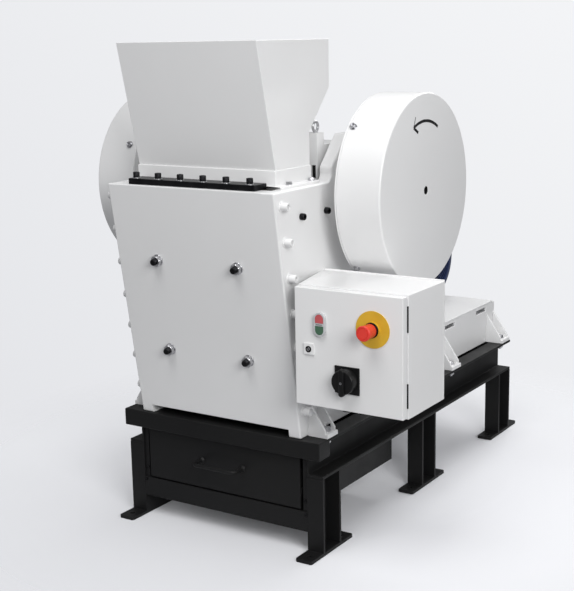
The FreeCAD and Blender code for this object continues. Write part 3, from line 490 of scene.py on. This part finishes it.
def side_screws():
    """Painted cap screws and a lug that hold the front wall, and two black screws above."""
    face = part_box("side_plate_right")[1].x
    collar = [(circle(26 * MM), 0.0), (circle(26 * MM), 2.0 * MM), (circle(25 * MM), 2.5 * MM),
              (circle(21 * MM), 2.5 * MM), (circle(21 * MM), 3.0 * MM)]
    lug_width, lug_depth, lug_height = 22, 20, 18
    white, black = bmesh.new(), bmesh.new()
    for side in (-1, 1):
        out = (side, 0, 0)
        for i, z in enumerate(SIDE_SCREW_HEIGHTS):
            place = beside(side * face, leaning_y(z) + SIDE_SCREW_INSET, z)
            matrix = towards(place, out, 0.7 * i)
            loft(white, collar, matrix)
            socket_head(white, matrix, diameter=21.0, height=19.0, socket=11.0, base=3.0)
        for y, z in UPPER_SCREWS:
            matrix = towards(beside(side * face, y, z), out, z)
            socket_head(black, matrix, diameter=17.0, height=12.0, socket=9.0, knurl=0.05)
        low = beside(min(side * face, side * (face + lug_width * MM)), 1.0, 376.0)
        block(white, low, low + Vector((lug_width, lug_depth, lug_height)) * MM, 2.0, 1.5)
    finish_mesh("side_plate_screws", white, "base", "white_paint")
    finish_mesh("upper_side_screws", black, "base", "black_steel")


def hopper_screws():
    """Two hexagon screws with washers on each side of the hopper's flange."""
    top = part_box("clamp_bar")[0].z + FLANGE_THICK * MM
    screws, washers = bmesh.new(), bmesh.new()
    for side in (-1, 1):
        for x, y in FLANGE_SCREWS:
            matrix = towards((side * x * MM, FRONT_FACE + y * MM, top), UP, y)
            washer(washers, matrix, outer=18.0, inner=9.0, thick=1.6)
            hex_head(screws, matrix, flats=13.0, height=6.0, base=1.6)
    finish_mesh("hopper_flange_screws", screws, "base", "bright_steel")
    finish_mesh("hopper_flange_washers", washers, "base", "bright_steel")


def hopper_collar():
    """A folded strip round the hopper's neck, and black wedges under its flange's front corners
    that paint the shadow there.
    """
    low, high = at(-COLLAR_X, COLLAR_FRONT, 0), at(COLLAR_X, COLLAR_BACK, 0)
    flange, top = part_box("clamp_bar")[0].z, COLLAR_TOP * MM
    matrix = Matrix.Translation(Vector(((low.x + high.x) / 2, (low.y + high.y) / 2, 0)))
    size = high - low
    wall = 2 * COLLAR_THICK * MM
    outer = plate(size.x, size.y, 2.0 * MM)
    inner = plate(size.x - wall, size.y - wall, 1.0 * MM)
    bm = bmesh.new()
    loft(bm, [(inner, flange), (outer, flange), (outer, top - 1.0 * MM), (inner, top)], matrix,
         closed=True)
    finish_mesh("hopper_collar", bm, "base", "white_paint")
    # black tapered wedges under the flange's front corners: painted shadow
    shadow_start, shadow_y, shadow_rise = 198.0, -46.0, 4.4
    shadow_wedges = bmesh.new()
    for side in (-1, 1):
        place = (side * shadow_start * MM, FRONT_FACE + shadow_y * MM, flange + shadow_rise * MM)
        loft(shadow_wedges, [(plate(7.0 * MM, 5.0 * MM, 1.2 * MM), 0.0),
                    (plate(3.6 * MM, 4.0 * MM, 1.0 * MM), 18.0 * MM),
                    (plate(1.0 * MM, 2.0 * MM, 0.3 * MM), 38.0 * MM)],
             towards(place, (side, 0, 0)))
    finish_mesh("hopper_flange_painted_shadow", shadow_wedges, "base", "black_plastic")


def lug_pockets():
    """Black blocks at the bottoms of the two pockets in the swing jaw's head: painted shade in the
    pockets.
    """
    from_side, half, deep, tall = 12.75, 7.4, 3.6, 33.8
    jaw_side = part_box("swing_jaw")[1].x
    pocket_shade = bmesh.new()
    for side in (-1, 1):
        centre = side * (jaw_side - from_side * MM)
        corner = beside(centre - half * MM, 186.0, 962.6)
        block(pocket_shade, corner, corner + Vector((2 * half, deep, tall)) * MM, 1.0, 0.6)
    finish_mesh("lug_pocket_painted_shade", pocket_shade, "base", "black_plastic")


clamp_screws()
tie_bolts()
side_screws()
hopper_screws()
hopper_collar()
lug_pockets()


# ---- flywheel guards --------------------------------------------------------------------------
AXIS = middle("main_shaft")
DRUM_RADIUS, DRUM_WIDTH, DRUM_EDGE = 252.0, 124.5, 5.0
HOLE, HOLE_RIM, HOLE_DEPTH = 22.0, 1.0, 30.0
RIM_SCREWS = {340.0: (47.0, 136.3, 227.7, 315.5),      # x, and angles from the back, upwards
              -350.0: (63.5, 153.5, 243.5, 333.5)}
ARROW_Y, ARROW_Z, ARROW_RADIUS, ARROW_WIDTH = 310.3, 957.7, 150.5, 7.5
ARROW_START, ARROW_SWEEP, ARROW_STEPS = 60.5, 54.0, 40
ARROW_TIP = (246.7, 1094.1)                            # (y, z)
ARROW_BARBS = ((272.0, 1080.5, 7.0), (257.0, 1120.6, 2.0))   # (y, z, width)
PRINT_ROOT, PRINT_PROUD, BARB_PROUD = 1.0, 0.35, 0.4


def guard(side, name):
    """A drum with a rolled outer edge, a small return at the back and the centre opening."""
    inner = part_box("guard_backs")[1].x * side
    matrix = towards((inner, AXIS.y, AXIS.z), (side, 0, 0))
    size = 2 * DRUM_RADIUS
    profile = [(size - 3, 0.0), (size, 1.5), (size, DRUM_WIDTH - DRUM_EDGE)]
    for step in range(1, 6):
        angle = math.pi / 2 * step / 5
        profile.append((2 * (DRUM_RADIUS - DRUM_EDGE * (1 - math.cos(angle))),
                        DRUM_WIDTH - DRUM_EDGE * (1 - math.sin(angle))))
    profile += [(HOLE + 2 * HOLE_RIM, DRUM_WIDTH), (HOLE, DRUM_WIDTH - HOLE_RIM),
                (HOLE, DRUM_WIDTH - HOLE_DEPTH)]
    piece = turned(name + "_drum", "base", "white_paint", matrix, profile, 180)
    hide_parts(name)


def reading_hole():
    """A black cup in the opening of the right guard's face: painted shade of the dark inside of
    the drum.
    """
    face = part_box("flywheel_guard_right")[1].x
    matrix = towards((face, AXIS.y, AXIS.z), (-1, 0, 0))
    turned("guard_hole_painted_shade", "base", "black_plastic", matrix,
           [(14.0, 12.0), (19.5, 0.9), (21.6, 0.8), (21.9, 22.0), (12.0, 24.0)], 48)


def guard_screws():
    """Four cap screws with washers round each guard's rim."""
    washers, screws = bmesh.new(), bmesh.new()
    for x, angles in RIM_SCREWS.items():
        for degrees in angles:
            angle = math.radians(degrees)
            out = Vector((0, math.cos(angle), math.sin(angle)))
            place = Vector((x * MM, AXIS.y, AXIS.z)) + out * DRUM_RADIUS * MM
            matrix = towards(place, out, degrees)
            washer(washers, matrix, outer=20.0, inner=9.0, thick=2.2)
            socket_head(screws, matrix, diameter=14.5, height=6.5, socket=8.0, base=2.2)
    finish_mesh("guard_washers", washers, "base", "bright_steel")
    finish_mesh("guard_screws", screws, "base", "bright_steel")


def rotation_arrow():
    """The turning direction of the flywheel, as an arc with an open head."""
    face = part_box("flywheel_guard_right")[1].x
    root = face - PRINT_ROOT * MM
    centre = at(0, ARROW_Y, ARROW_Z)
    radius = ARROW_RADIUS * MM
    arc = []
    for i in range(ARROW_STEPS + 1):
        angle = math.radians(ARROW_START + ARROW_SWEEP * i / ARROW_STEPS)
        arc.append((centre.y + radius * math.cos(angle), centre.z + radius * math.sin(angle)))
    bm = bmesh.new()
    ribbon(bm, arc, ARROW_WIDTH * MM, root, face + PRINT_PROUD * MM)
    tip = at(0, *ARROW_TIP)
    for y, z, width in ARROW_BARBS:
        end = at(0, y, z)
        ribbon(bm, [(tip.y, tip.z), (end.y, end.z)], width * MM, root, face + BARB_PROUD * MM)
    finish_mesh("rotation_arrow", bm, "base", "black_plastic")


guard(1, "flywheel_guard_right")
guard(-1, "flywheel_guard_left")
reading_hole()
guard_screws()
rotation_arrow()


# ---- base frame and drawer --------------------------------------------------------------------
FOOT_BOLT_X, FOOT_BOLT_ROWS = 298.0, (58.0, 531.0, 806.0, 1191.0)
FOOT_THICK, BEAM_FLANGE = 12, 8
WEB_BOLT_ROWS, WEB_BOLT_Z, WEB_THICK = (252.0, 420.0), 297.0, 6
LIP_Y, DRAWER_PANEL_Y = 5.0, 1.0       # housing's lip and drawer's panel behind the legs' front
HANDLE_HALF = 68.0


def frame_bolts():
    """Bolts through the feet with nuts under the beams' flanges, and bolts in the beams' webs."""
    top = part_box("crusher_feet")[0].z + FOOT_THICK * MM
    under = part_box("long_beam_right")[1].z - BEAM_FLANGE * MM
    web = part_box("drawer_housing")[1].x + WEB_THICK * MM
    bolts, washers = bmesh.new(), bmesh.new()
    for side in (-1, 1):
        for y in FOOT_BOLT_ROWS:
            place = at(side * FOOT_BOLT_X, y, 0)
            above, below = (place.x, place.y, top), (place.x, place.y, under)
            for end, way in ((above, UP), (below, DOWN)):
                washer(washers, towards(end, way), outer=24, inner=12, thick=2.5)
            hex_head(bolts, towards(above, UP, y), flats=18, height=8, base=2.5)
            hex_head(bolts, towards(below, DOWN, y), flats=18, height=10, base=2.5)
            thread(bolts, towards(below, DOWN), diameter=11.8, start=12, end=17, pitch=1.75)
        for y in WEB_BOLT_ROWS:
            matrix = towards(beside(side * web, y, WEB_BOLT_Z), (side, 0, 0), y)
            hex_head(bolts, matrix, flats=13, height=6)
    finish_mesh("frame_bolts", bolts, "base", "bright_steel")
    finish_mesh("frame_washers", washers, "base", "bright_steel")


def drawer_screws():
    """Small screws at the drawer's sides, and the round roots of its handle."""
    on_lip = (261.5, at(0, LIP_Y, 0).y, 141.0)
    on_leg = (266.5, FRONT_FACE, 105.0)
    screws = bmesh.new()
    for side in (-1, 1):
        for x, y, z in (on_lip, on_leg):
            matrix = towards((side * x * MM, y, z * MM), FRONT, z)
            socket_head(screws, matrix, diameter=8.5, height=3.5, socket=4.0)
    finish_mesh("housing_screws", screws, "base", "black_steel")
    root = [(circle(20 * MM), 0.0), (circle(20 * MM), 2.0 * MM), (circle(15 * MM), 4.5 * MM),
            (circle(12 * MM), 8 * MM)]
    panel, height = at(0, DRAWER_PANEL_Y, 0).y, middle("drawer_handle").z
    studs = bmesh.new()
    for side in (-1, 1):
        loft(studs, root, towards((side * HANDLE_HALF * MM, panel, height), FRONT))
    finish_mesh("handle_roots", studs, "drawer", "black_paint")


frame_bolts()
drawer_screws()


# ---- control cabinet --------------------------------------------------------------------------
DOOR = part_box("cabinet_door")
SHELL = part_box("cabinet_body")
GASKET = plastic("foam_gasket", (0.62, 0.62, 0.63), (0.55, 0.55, 0.56), (0.7, 0.85), 1500.0)
DIVIDER = plastic("divider_moulding", (0.22, 0.24, 0.24), (0.19, 0.21, 0.21), (0.35, 0.45))
HINGE_SPANS = ((647.0, 710.0), (463.0, 523.0))
HINGE_WIDTH, HINGE_INSET, HINGE_AHEAD = 3.6, 4.0, 2.6


def on_the_door(node):
    """The matrix at a round control's back, looking to the front, and its length in mm."""
    low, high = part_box(node)
    centre = (low + high) / 2
    return towards((centre.x, high.y, centre.z), FRONT), (high.y - low.y) / MM


def gasket():
    """A gasket on the cabinet's rim, seen in the gap behind the door."""
    size = DOOR[1] - DOOR[0]
    centre = (DOOR[0] + DOOR[1]) / 2
    matrix = towards((centre.x, SHELL[0].y, centre.z), FRONT)
    outer = plate(size.x - 2 * MM, size.z - 2 * MM, 6 * MM)
    inner = plate(size.x - 14 * MM, size.z - 14 * MM, 4 * MM)
    bm = bmesh.new()
    loft(bm, [(inner, -0.5 * MM), (outer, -0.5 * MM), (outer, 2.3 * MM), (inner, 2.3 * MM)],
         matrix, closed=True)
    finish_mesh("cabinet_gasket", bm, "base", "grey_plastic", GASKET)


def hinge_slot_shade():
    """Two black blocks on the cabinet's side of the door gap: painted shade of the hinge slots."""
    bm = bmesh.new()
    for low, high in HINGE_SPANS:
        corner = Vector((SHELL[1].x - HINGE_INSET * MM, SHELL[0].y - HINGE_AHEAD * MM, low * MM))
        size = Vector((HINGE_WIDTH * MM, HINGE_WIDTH * MM, (high - low) * MM))
        block(bm, corner, corner + size, 0.8, 0.5)
    finish_mesh("hinge_slot_painted_shade", bm, "base", "black_steel")


def emergency_stop():
    """The stepped red head with a ring in its top, and the black ring at its root."""
    low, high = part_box("estop_button")
    centre = (low + high) / 2
    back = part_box("estop_disc")[0].y
    matrix = towards((centre.x, back, centre.z), FRONT)
    length = (back - low.y) / MM
    head = turned("estop_head", "estop_button", "red_plastic", matrix,
                  [(22, -2.5), (22, 6), (33, 6), (34, 7), (34, 23), (34.6, 24.5), (35.6, 32),
                   (37, length - 4.5), (37.6, length - 3), (37.2, length - 1.4),
                   (35.6, length - 0.4), (33, length), (28, length), (27, length - 1.2),
                   (25.5, length - 1.2), (24.5, length), (4, length)])
    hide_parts("estop_button")
    ring = bmesh.new()
    washer(ring, matrix, outer=38.0, inner=24.0, thick=0.9)
    washer(ring, matrix, outer=36.0, inner=24.0, thick=1.6)
    finish_mesh("estop_root_ring", ring, "door", "black_plastic")


def main_switch():
    """Round knob with a straight grip and its centre screw."""
    matrix, length = on_the_door("switch_knob")
    knob = [(60, 0.0), (60, length - 9.5), (59, length - 7.8), (56.5, length - 6.5),
            (40, length - 6.0)]
    grip = [(15, 68, 7.4, length - 11), (15, 68, 7.4, length - 2.5),
            (13.5, 66.5, 6.6, length - 0.8), (11, 64, 5.4, length)]
    bm = bmesh.new()
    loft(bm, [(circle(d * MM, 64), h * MM) for d, h in knob], matrix)
    loft(bm, [(plate(w * MM, l * MM, r * MM), h * MM) for w, l, r, h in grip], matrix)
    piece = finish_mesh("main_switch_knob", bm, "switch_knob", "black_plastic")
    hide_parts("switch_knob")
    screw = bmesh.new()
    socket_head(screw, matrix, diameter=6.0, height=1.4, socket=3.0, base=length - 0.9)
    finish_mesh("main_switch_screw", screw, "switch_knob", "bright_steel")


def button_divider():
    """The grey strip between the two push-buttons."""
    width, depth, height, proud = 19.0, 3.0, 3.2, 0.6
    low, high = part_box("button_bezel")
    upper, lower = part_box("stop_button"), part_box("start_button")
    gap = (max(upper[0].z, lower[0].z) + min(upper[1].z, lower[1].z)) / 2
    corner = Vector(((low.x + high.x) / 2 - width / 2 * MM, low.y - proud * MM,
                     gap - height / 2 * MM))
    bm = bmesh.new()
    block(bm, corner, corner + Vector((width, depth, height)) * MM, 0.7, 0.4)
    finish_mesh("button_divider", bm, "door", "grey_plastic", DIVIDER)


def lock_insert():
    """A cabinet lock: a turned insert with two bars across it and a slot between them."""
    matrix, length = on_the_door("lock_cylinder")
    piece = turned("lock_insert", "lock_cylinder", "lock_metal", matrix,
                   [(14, 0.0), (14, length - 1.3), (16, length - 1.3), (16, length - 0.6),
                    (15, length), (11.5, length), (11, length - 2.6)],
                   40, MATERIALS["black_steel"])
    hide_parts("lock_cylinder")
    outline = plate(3.6 * MM, 8.4 * MM, 1.7 * MM)
    turn = matrix @ Matrix.Rotation(math.radians(40), 4, "Z")
    bar = bmesh.new()
    for offset in (-2.7, 2.7):
        half = turn @ Matrix.Translation(Vector((offset * MM, 0, 0)))
        loft(bar, [(outline, (length - 2.8) * MM), (outline, (length - 0.5) * MM)], half)
    finish_mesh("lock_bar", bar, "lock_cylinder", "lock_metal", MATERIALS["bright_steel"])


def glands():
    """A hexagon and a domed nut round each cable gland."""
    inset = 13 * MM
    low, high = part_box("cable_glands")
    bm = bmesh.new()
    for x in (low.x + inset, high.x - inset):
        matrix = towards((x, (low.y + high.y) / 2, high.z), DOWN)
        hex_head(bm, matrix, flats=29, height=8)
        loft(bm, [(hexagon(26 * MM), 10 * MM), (hexagon(26 * MM), 20 * MM),
                  (circle(24 * MM, 36), 23 * MM), (circle(17 * MM, 36), 27.8 * MM)], matrix)
    finish_mesh("gland_nuts", bm, "base", "black_plastic")


gasket()
hinge_slot_shade()
emergency_stop()
main_switch()
button_divider()
lock_insert()
glands()


# ---- motor and belt guard ---------------------------------------------------------------------
MOTOR = middle("motor_fan_cover")
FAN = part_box("motor_fan_cover")
FRAME_LENGTH = 340.0
MOTOR_FEET = (-207.0, -29.0)          # x of the two rows of feet
PAD, PAD_OUT, PAD_THICK = 46, 108, 12             # a foot's square pad, beside the motor's middle
POST, POST_OUT, POST_ROOT = (36, 28, 62), 98, 8   # what joins it to the frame, from in the pad
PAD_BOLT_OUT = 118
FIN_COUNT, FIN_RADIUS = 48, 108.5
SHIELD_BOLTS, SHIELD_BOLT_RADIUS, SHIELD_BOLT_SEAT = 4, 100.0, 6
GRILLE_RINGS, RING_WIDTH = range(34, 214, 22), 7  # outer diameters of the rings
COVER_SCREWS = ((0.45, 135.0), (0.72, 100.0), (0.99, 68.0))   # share of the run, reach beside it
REAR_SCREW_X, REAR_SCREW_HEIGHTS = 205, (360.0, 560.0)


def motor():
    """Ribbed frame between two end shields, on cast feet, with its shaft end."""
    back = FAN[0].x / MM
    front = back - FRAME_LENGTH
    matrix = towards((0, MOTOR.y, MOTOR.z), (1, 0, 0))
    bm = bmesh.new()
    barrel = [(38, front - 42), (38, front), (150, front), (214, front + 5), (230, front + 8),
              (232, front + 12), (232, front + 30), (228, front + 32), (206, front + 34),
              (206, back - 28), (228, back - 26), (232, back - 24), (232, back - 2), (228, back)]
    loft(bm, [(circle(d * MM, 96), h * MM) for d, h in barrel], matrix)
    fin = plate(15 * MM, 3.2 * MM, 1.2 * MM, 8)
    for i in range(FIN_COUNT):
        turn = matrix @ Matrix.Rotation(2 * math.pi * i / FIN_COUNT, 4, "Z")
        out = Matrix.Translation(Vector((FIN_RADIUS * MM, 0, 0)))
        loft(bm, [(fin, (front + 31) * MM), (fin, (back - 25) * MM)], turn @ out)
    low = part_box("motor_body")[0]
    for x in MOTOR_FEET:
        for side in (-1, 1):
            corner = Vector(((x - PAD / 2) * MM, MOTOR.y + (side * PAD_OUT - PAD / 2) * MM,
                             low.z))
            block(bm, corner, corner + Vector((PAD, PAD, PAD_THICK)) * MM, 6, 1.5)
            corner = Vector(((x - POST[0] / 2) * MM,
                             MOTOR.y + (side * POST_OUT - POST[1] / 2) * MM,
                             low.z + POST_ROOT * MM))
            block(bm, corner, corner + Vector(POST) * MM, 5, 1.5)
    piece = finish_mesh("motor_frame", bm, "base", "blue_paint")
    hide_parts("motor_body")
    bolts = bmesh.new()
    for x in MOTOR_FEET:
        for side in (-1, 1):
            place = Vector((x * MM, MOTOR.y + side * PAD_BOLT_OUT * MM, low.z + PAD_THICK * MM))
            hex_head(bolts, towards(place, UP, x), flats=16, height=8)
    reach = SHIELD_BOLT_RADIUS * MM
    for i in range(SHIELD_BOLTS):
        angle = math.pi / 4 + math.pi / 2 * i
        place = Vector(((front + SHIELD_BOLT_SEAT) * MM, MOTOR.y + reach * math.cos(angle),
                        MOTOR.z + reach * math.sin(angle)))
        hex_head(bolts, towards(place, (-1, 0, 0), i), flats=11, height=7)
    finish_mesh("motor_bolts", bolts, "base", "bright_steel")


def fan_cover():
    """A pressed cover with a ringed air inlet."""
    length = (FAN[1].x - FAN[0].x) / MM
    matrix = towards((FAN[0].x, MOTOR.y, MOTOR.z), (1, 0, 0))
    profile = [(256, 0.0), (260, 1.0), (260, length - 16), (257, length - 9), (250, length - 3.5),
               (238, length), (214, length), (212, length - 1), (212, length - 10)]
    piece = turned("fan_cover_shell", "base", "blue_paint", matrix, profile, 96)
    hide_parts("motor_fan_cover")
    ring_place = matrix @ Matrix.Translation(Vector((0, 0, (length - 5) * MM)))
    spoke = plate(212 * MM, 6 * MM, 1 * MM, 8)
    grille = bmesh.new()
    for outer in GRILLE_RINGS:
        washer(grille, ring_place, outer, outer - RING_WIDTH, thick=3)
    for i in range(3):
        loft(grille, [(spoke, (length - 8) * MM), (spoke, (length - 4) * MM)],
             matrix @ Matrix.Rotation(math.pi / 3 * i, 4, "Z"))
    finish_mesh("fan_grille", grille, "base", "blue_paint")
    turned("fan_shadow", "base", "black_plastic", matrix,
           [(211, length - 11), (211, length - 9.6), (60, length - 9.2)], 48)


def terminal_box_lid():
    """A lid that overhangs the terminal box, with a screw in each corner."""
    overhang, depth, sunk, inset = 2 * MM, 16 * MM, 0.4 * MM, 9 * MM
    low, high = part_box("motor_terminal_box")
    top = high.z - sunk
    bm = bmesh.new()
    block(bm, Vector((low.x - overhang, low.y - overhang, high.z - depth)),
          Vector((high.x + overhang, high.y + overhang, top)), 8, 2.5)
    finish_mesh("terminal_box_lid", bm, "base", "blue_paint")
    screws = bmesh.new()
    for x in (low.x + inset, high.x - inset):
        for y in (low.y + inset, high.y - inset):
            socket_head(screws, towards((x, y, top), UP, x), diameter=7, height=2.5, socket=3.5)
    finish_mesh("terminal_box_screws", screws, "base", "bright_steel")


def belt_guard_screws():
    """Six cap screws along the long cover's face."""
    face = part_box("belt_guard")[0].x
    start = Vector((face, AXIS.y, AXIS.z))
    run = Vector((0, MOTOR.y - AXIS.y, MOTOR.z - AXIS.z))
    across = Vector((0, -run.z, run.y)).normalized()
    screws = bmesh.new()
    for share, reach in COVER_SCREWS:
        for side in (-1, 1):
            place = start + run * share + across * side * reach * MM
            matrix = towards(place, (-1, 0, 0), share)
            socket_head(screws, matrix, diameter=11, height=5, socket=6)
    finish_mesh("belt_guard_screws", screws, "base", "bright_steel")


def rear_cover_screws():
    """Four hexagon screws in the rear cover's corners."""
    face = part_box("rear_cover")[1].y
    screws = bmesh.new()
    for side in (-1, 1):
        for z in REAR_SCREW_HEIGHTS:
            place = Vector((side * REAR_SCREW_X * MM, face, z * MM))
            hex_head(screws, towards(place, (0, 1, 0), z), flats=13, height=6)
    finish_mesh("rear_cover_screws", screws, "base", "bright_steel")


motor()
fan_cover()
terminal_box_lid()
belt_guard_screws()
rear_cover_screws()


# ---- camera, light and floor --------------------------------------------------------------
CAMERA_PLACE = Vector((1.85788, -3.13943, 1.32257))
CAMERA_YAW, CAMERA_PITCH, CAMERA_ROLL = 32.96, 11.95, -1.1
FOCAL_PER_WIDTH = 2.11925
SENSOR_WIDTH = 36.0
FILL_TONE, FILL_STRENGTH = (0.84, 0.85, 0.88, 1.0), 0.30
BACKDROP_LOW = (0.755, 0.763, 0.793, 1.0)
BACKDROP_HIGH = (0.900, 0.908, 0.927, 1.0)
BACKDROP_WAY = Vector((0.447, 0.480, 0.754))       # the way in which the backdrop gets lighter
BACKDROP_SPAN = 0.32
FLOOR_REACH, FLOOR_SOLID = 1.4, 0.55               # where it ends, and where it starts to thin out
FLOOR_LIFT = 0.06                                  # light of its own, so its shadows stay soft
FLOOR_TONE, FLOOR_SHADE = (0.80, 0.805, 0.83), (0.79, 0.795, 0.82)


def aim(yaw, pitch, roll):
    """The camera's rotation from its heading, dip and roll in degrees."""
    yaw, pitch, roll = math.radians(yaw), math.radians(pitch), math.radians(roll)
    ahead = Vector((-math.sin(yaw) * math.cos(pitch), math.cos(yaw) * math.cos(pitch),
                    -math.sin(pitch)))
    level = Vector((math.cos(yaw), math.sin(yaw), 0.0))
    above = level.cross(ahead)
    right = level * math.cos(roll) + above * math.sin(roll)
    up = above * math.cos(roll) - level * math.sin(roll)
    return Matrix((right, up, -ahead)).transposed().to_4x4()


def place_camera():
    lens = bpy.data.cameras.new("camera")
    lens.sensor_fit = "HORIZONTAL"
    lens.sensor_width = SENSOR_WIDTH
    lens.lens = SENSOR_WIDTH * FOCAL_PER_WIDTH
    lens.clip_end = 100.0
    camera = bpy.data.objects.new("camera", lens)
    bpy.context.scene.collection.objects.link(camera)
    camera.matrix_world = (Matrix.Translation(CAMERA_PLACE)
                           @ aim(CAMERA_YAW, CAMERA_PITCH, CAMERA_ROLL))
    bpy.context.scene.camera = camera
    bpy.context.scene.view_settings.view_transform = "Standard"


def softbox(name, place, target, size, power):
    """A square lamp at a place that shines at a target, in metres and watts."""
    light = bpy.data.lights.new(name, "AREA")
    light.shape = "RECTANGLE"
    light.size, light.size_y = size, size
    light.energy = power
    lamp = bpy.data.objects.new(name, light)
    bpy.context.scene.collection.objects.link(lamp)
    direction = Vector(target) - Vector(place)
    lamp.matrix_world = (Matrix.Translation(Vector(place))
                         @ direction.to_track_quat("-Z", "Y").to_matrix().to_4x4())


def studio():
    """A pale backdrop for the camera, a little darker to the lower left, and weak fill."""
    world = bpy.data.worlds.new("studio")
    bpy.context.scene.world = world
    world.use_nodes = True
    tree = world.node_tree
    fill = tree.nodes["Background"]
    fill.inputs["Color"].default_value = FILL_TONE
    fill.inputs["Strength"].default_value = FILL_STRENGTH
    seen = tree.nodes.new("ShaderNodeBackground")
    place = tree.nodes.new("ShaderNodeTexCoord")
    lean = tree.nodes.new("ShaderNodeVectorMath")
    lean.operation = "DOT_PRODUCT"
    lean.inputs[1].default_value = BACKDROP_WAY
    tree.links.new(place.outputs["Generated"], lean.inputs[0])
    spread = tree.nodes.new("ShaderNodeMapRange")
    spread.inputs["From Min"].default_value = -BACKDROP_SPAN
    spread.inputs["From Max"].default_value = BACKDROP_SPAN
    tree.links.new(lean.outputs["Value"], spread.inputs["Value"])
    shade = tree.nodes.new("ShaderNodeMix")
    shade.data_type = "RGBA"
    low, high = [s for s in shade.inputs if s.type == "RGBA"]
    low.default_value, high.default_value = BACKDROP_LOW, BACKDROP_HIGH
    tree.links.new(spread.outputs["Result"], shade.inputs["Factor"])
    tree.links.new([s for s in shade.outputs if s.type == "RGBA"][0], seen.inputs["Color"])
    rays = tree.nodes.new("ShaderNodeLightPath")
    either = tree.nodes.new("ShaderNodeMixShader")
    tree.links.new(rays.outputs["Is Camera Ray"], either.inputs["Fac"])
    tree.links.new(fill.outputs["Background"], either.inputs[1])
    tree.links.new(seen.outputs["Background"], either.inputs[2])
    tree.links.new(either.outputs["Shader"], tree.nodes["World Output"].inputs["Surface"])


def floor():
    """A pale floor round the machine that thins out into the backdrop."""
    bm = bmesh.new()
    bmesh.ops.create_circle(bm, cap_ends=True, radius=FLOOR_REACH, segments=96)
    mesh = bpy.data.meshes.new("floor")
    bm.to_mesh(mesh)
    bm.free()
    n = Nodes("studio_floor")
    tone = n.mix(n.spread(n.noise(scale=0.6, detail=2.0), 0.0, 1.0), FLOOR_TONE, FLOOR_SHADE)
    n.link(tone, n.shader.inputs["Base Color"])
    n.set(Roughness=0.9, Specular_IOR_Level=0.1, Emission_Color=(*FLOOR_TONE, 1.0),
          Emission_Strength=FLOOR_LIFT)
    reach = n.add("ShaderNodeVectorMath", operation="LENGTH")
    n.link(n.place, reach.inputs[0])
    n.link(n.spread(reach.outputs["Value"], 1.0, 0.0, FLOOR_SOLID, FLOOR_REACH),
           n.shader.inputs["Alpha"])
    mesh.materials.append(n.material)
    piece = bpy.data.objects.new("floor", mesh)
    bpy.context.scene.collection.objects.link(piece)
    piece.location.z = -0.5 * MM


place_camera()
softbox("key", (0.3, -2.4, 4.0), (0.0, -0.2, 0.7), size=2.0, power=69.0)
softbox("overhead", (0.3, 1.3, 4.0), (0.2, 0.6, 0.0), size=2.5, power=42.0)
softbox("right_front", (3.6, -3.0, 2.4), (0.2, 0.0, 0.6), size=2.0, power=128.0)
softbox("behind", (0.5, 3.4, 3.6), (0.0, 0.0, 0.7), size=2.6, power=78.0)
studio()
floor()


# ---- materials of the CAD nodes themselves --------------------------------------------------
OWN_LOOKS = {
    "start_button": plastic("dull_green_moulding", (0.065, 0.145, 0.088), (0.058, 0.13, 0.08),
                            (0.34, 0.46)),
    "stop_button": plastic("dull_red_moulding", (0.56, 0.105, 0.115), (0.50, 0.092, 0.10),
                           (0.34, 0.46)),
    "button_bezel": plastic("bezel_moulding", (0.56, 0.57, 0.58), (0.50, 0.51, 0.52),
                            (0.34, 0.44)),
}
for node, piece in NODES.items():
    piece.data.materials.clear()
    piece.data.materials.append(OWN_LOOKS.get(node) or MATERIALS[SLOT_OF[node]])
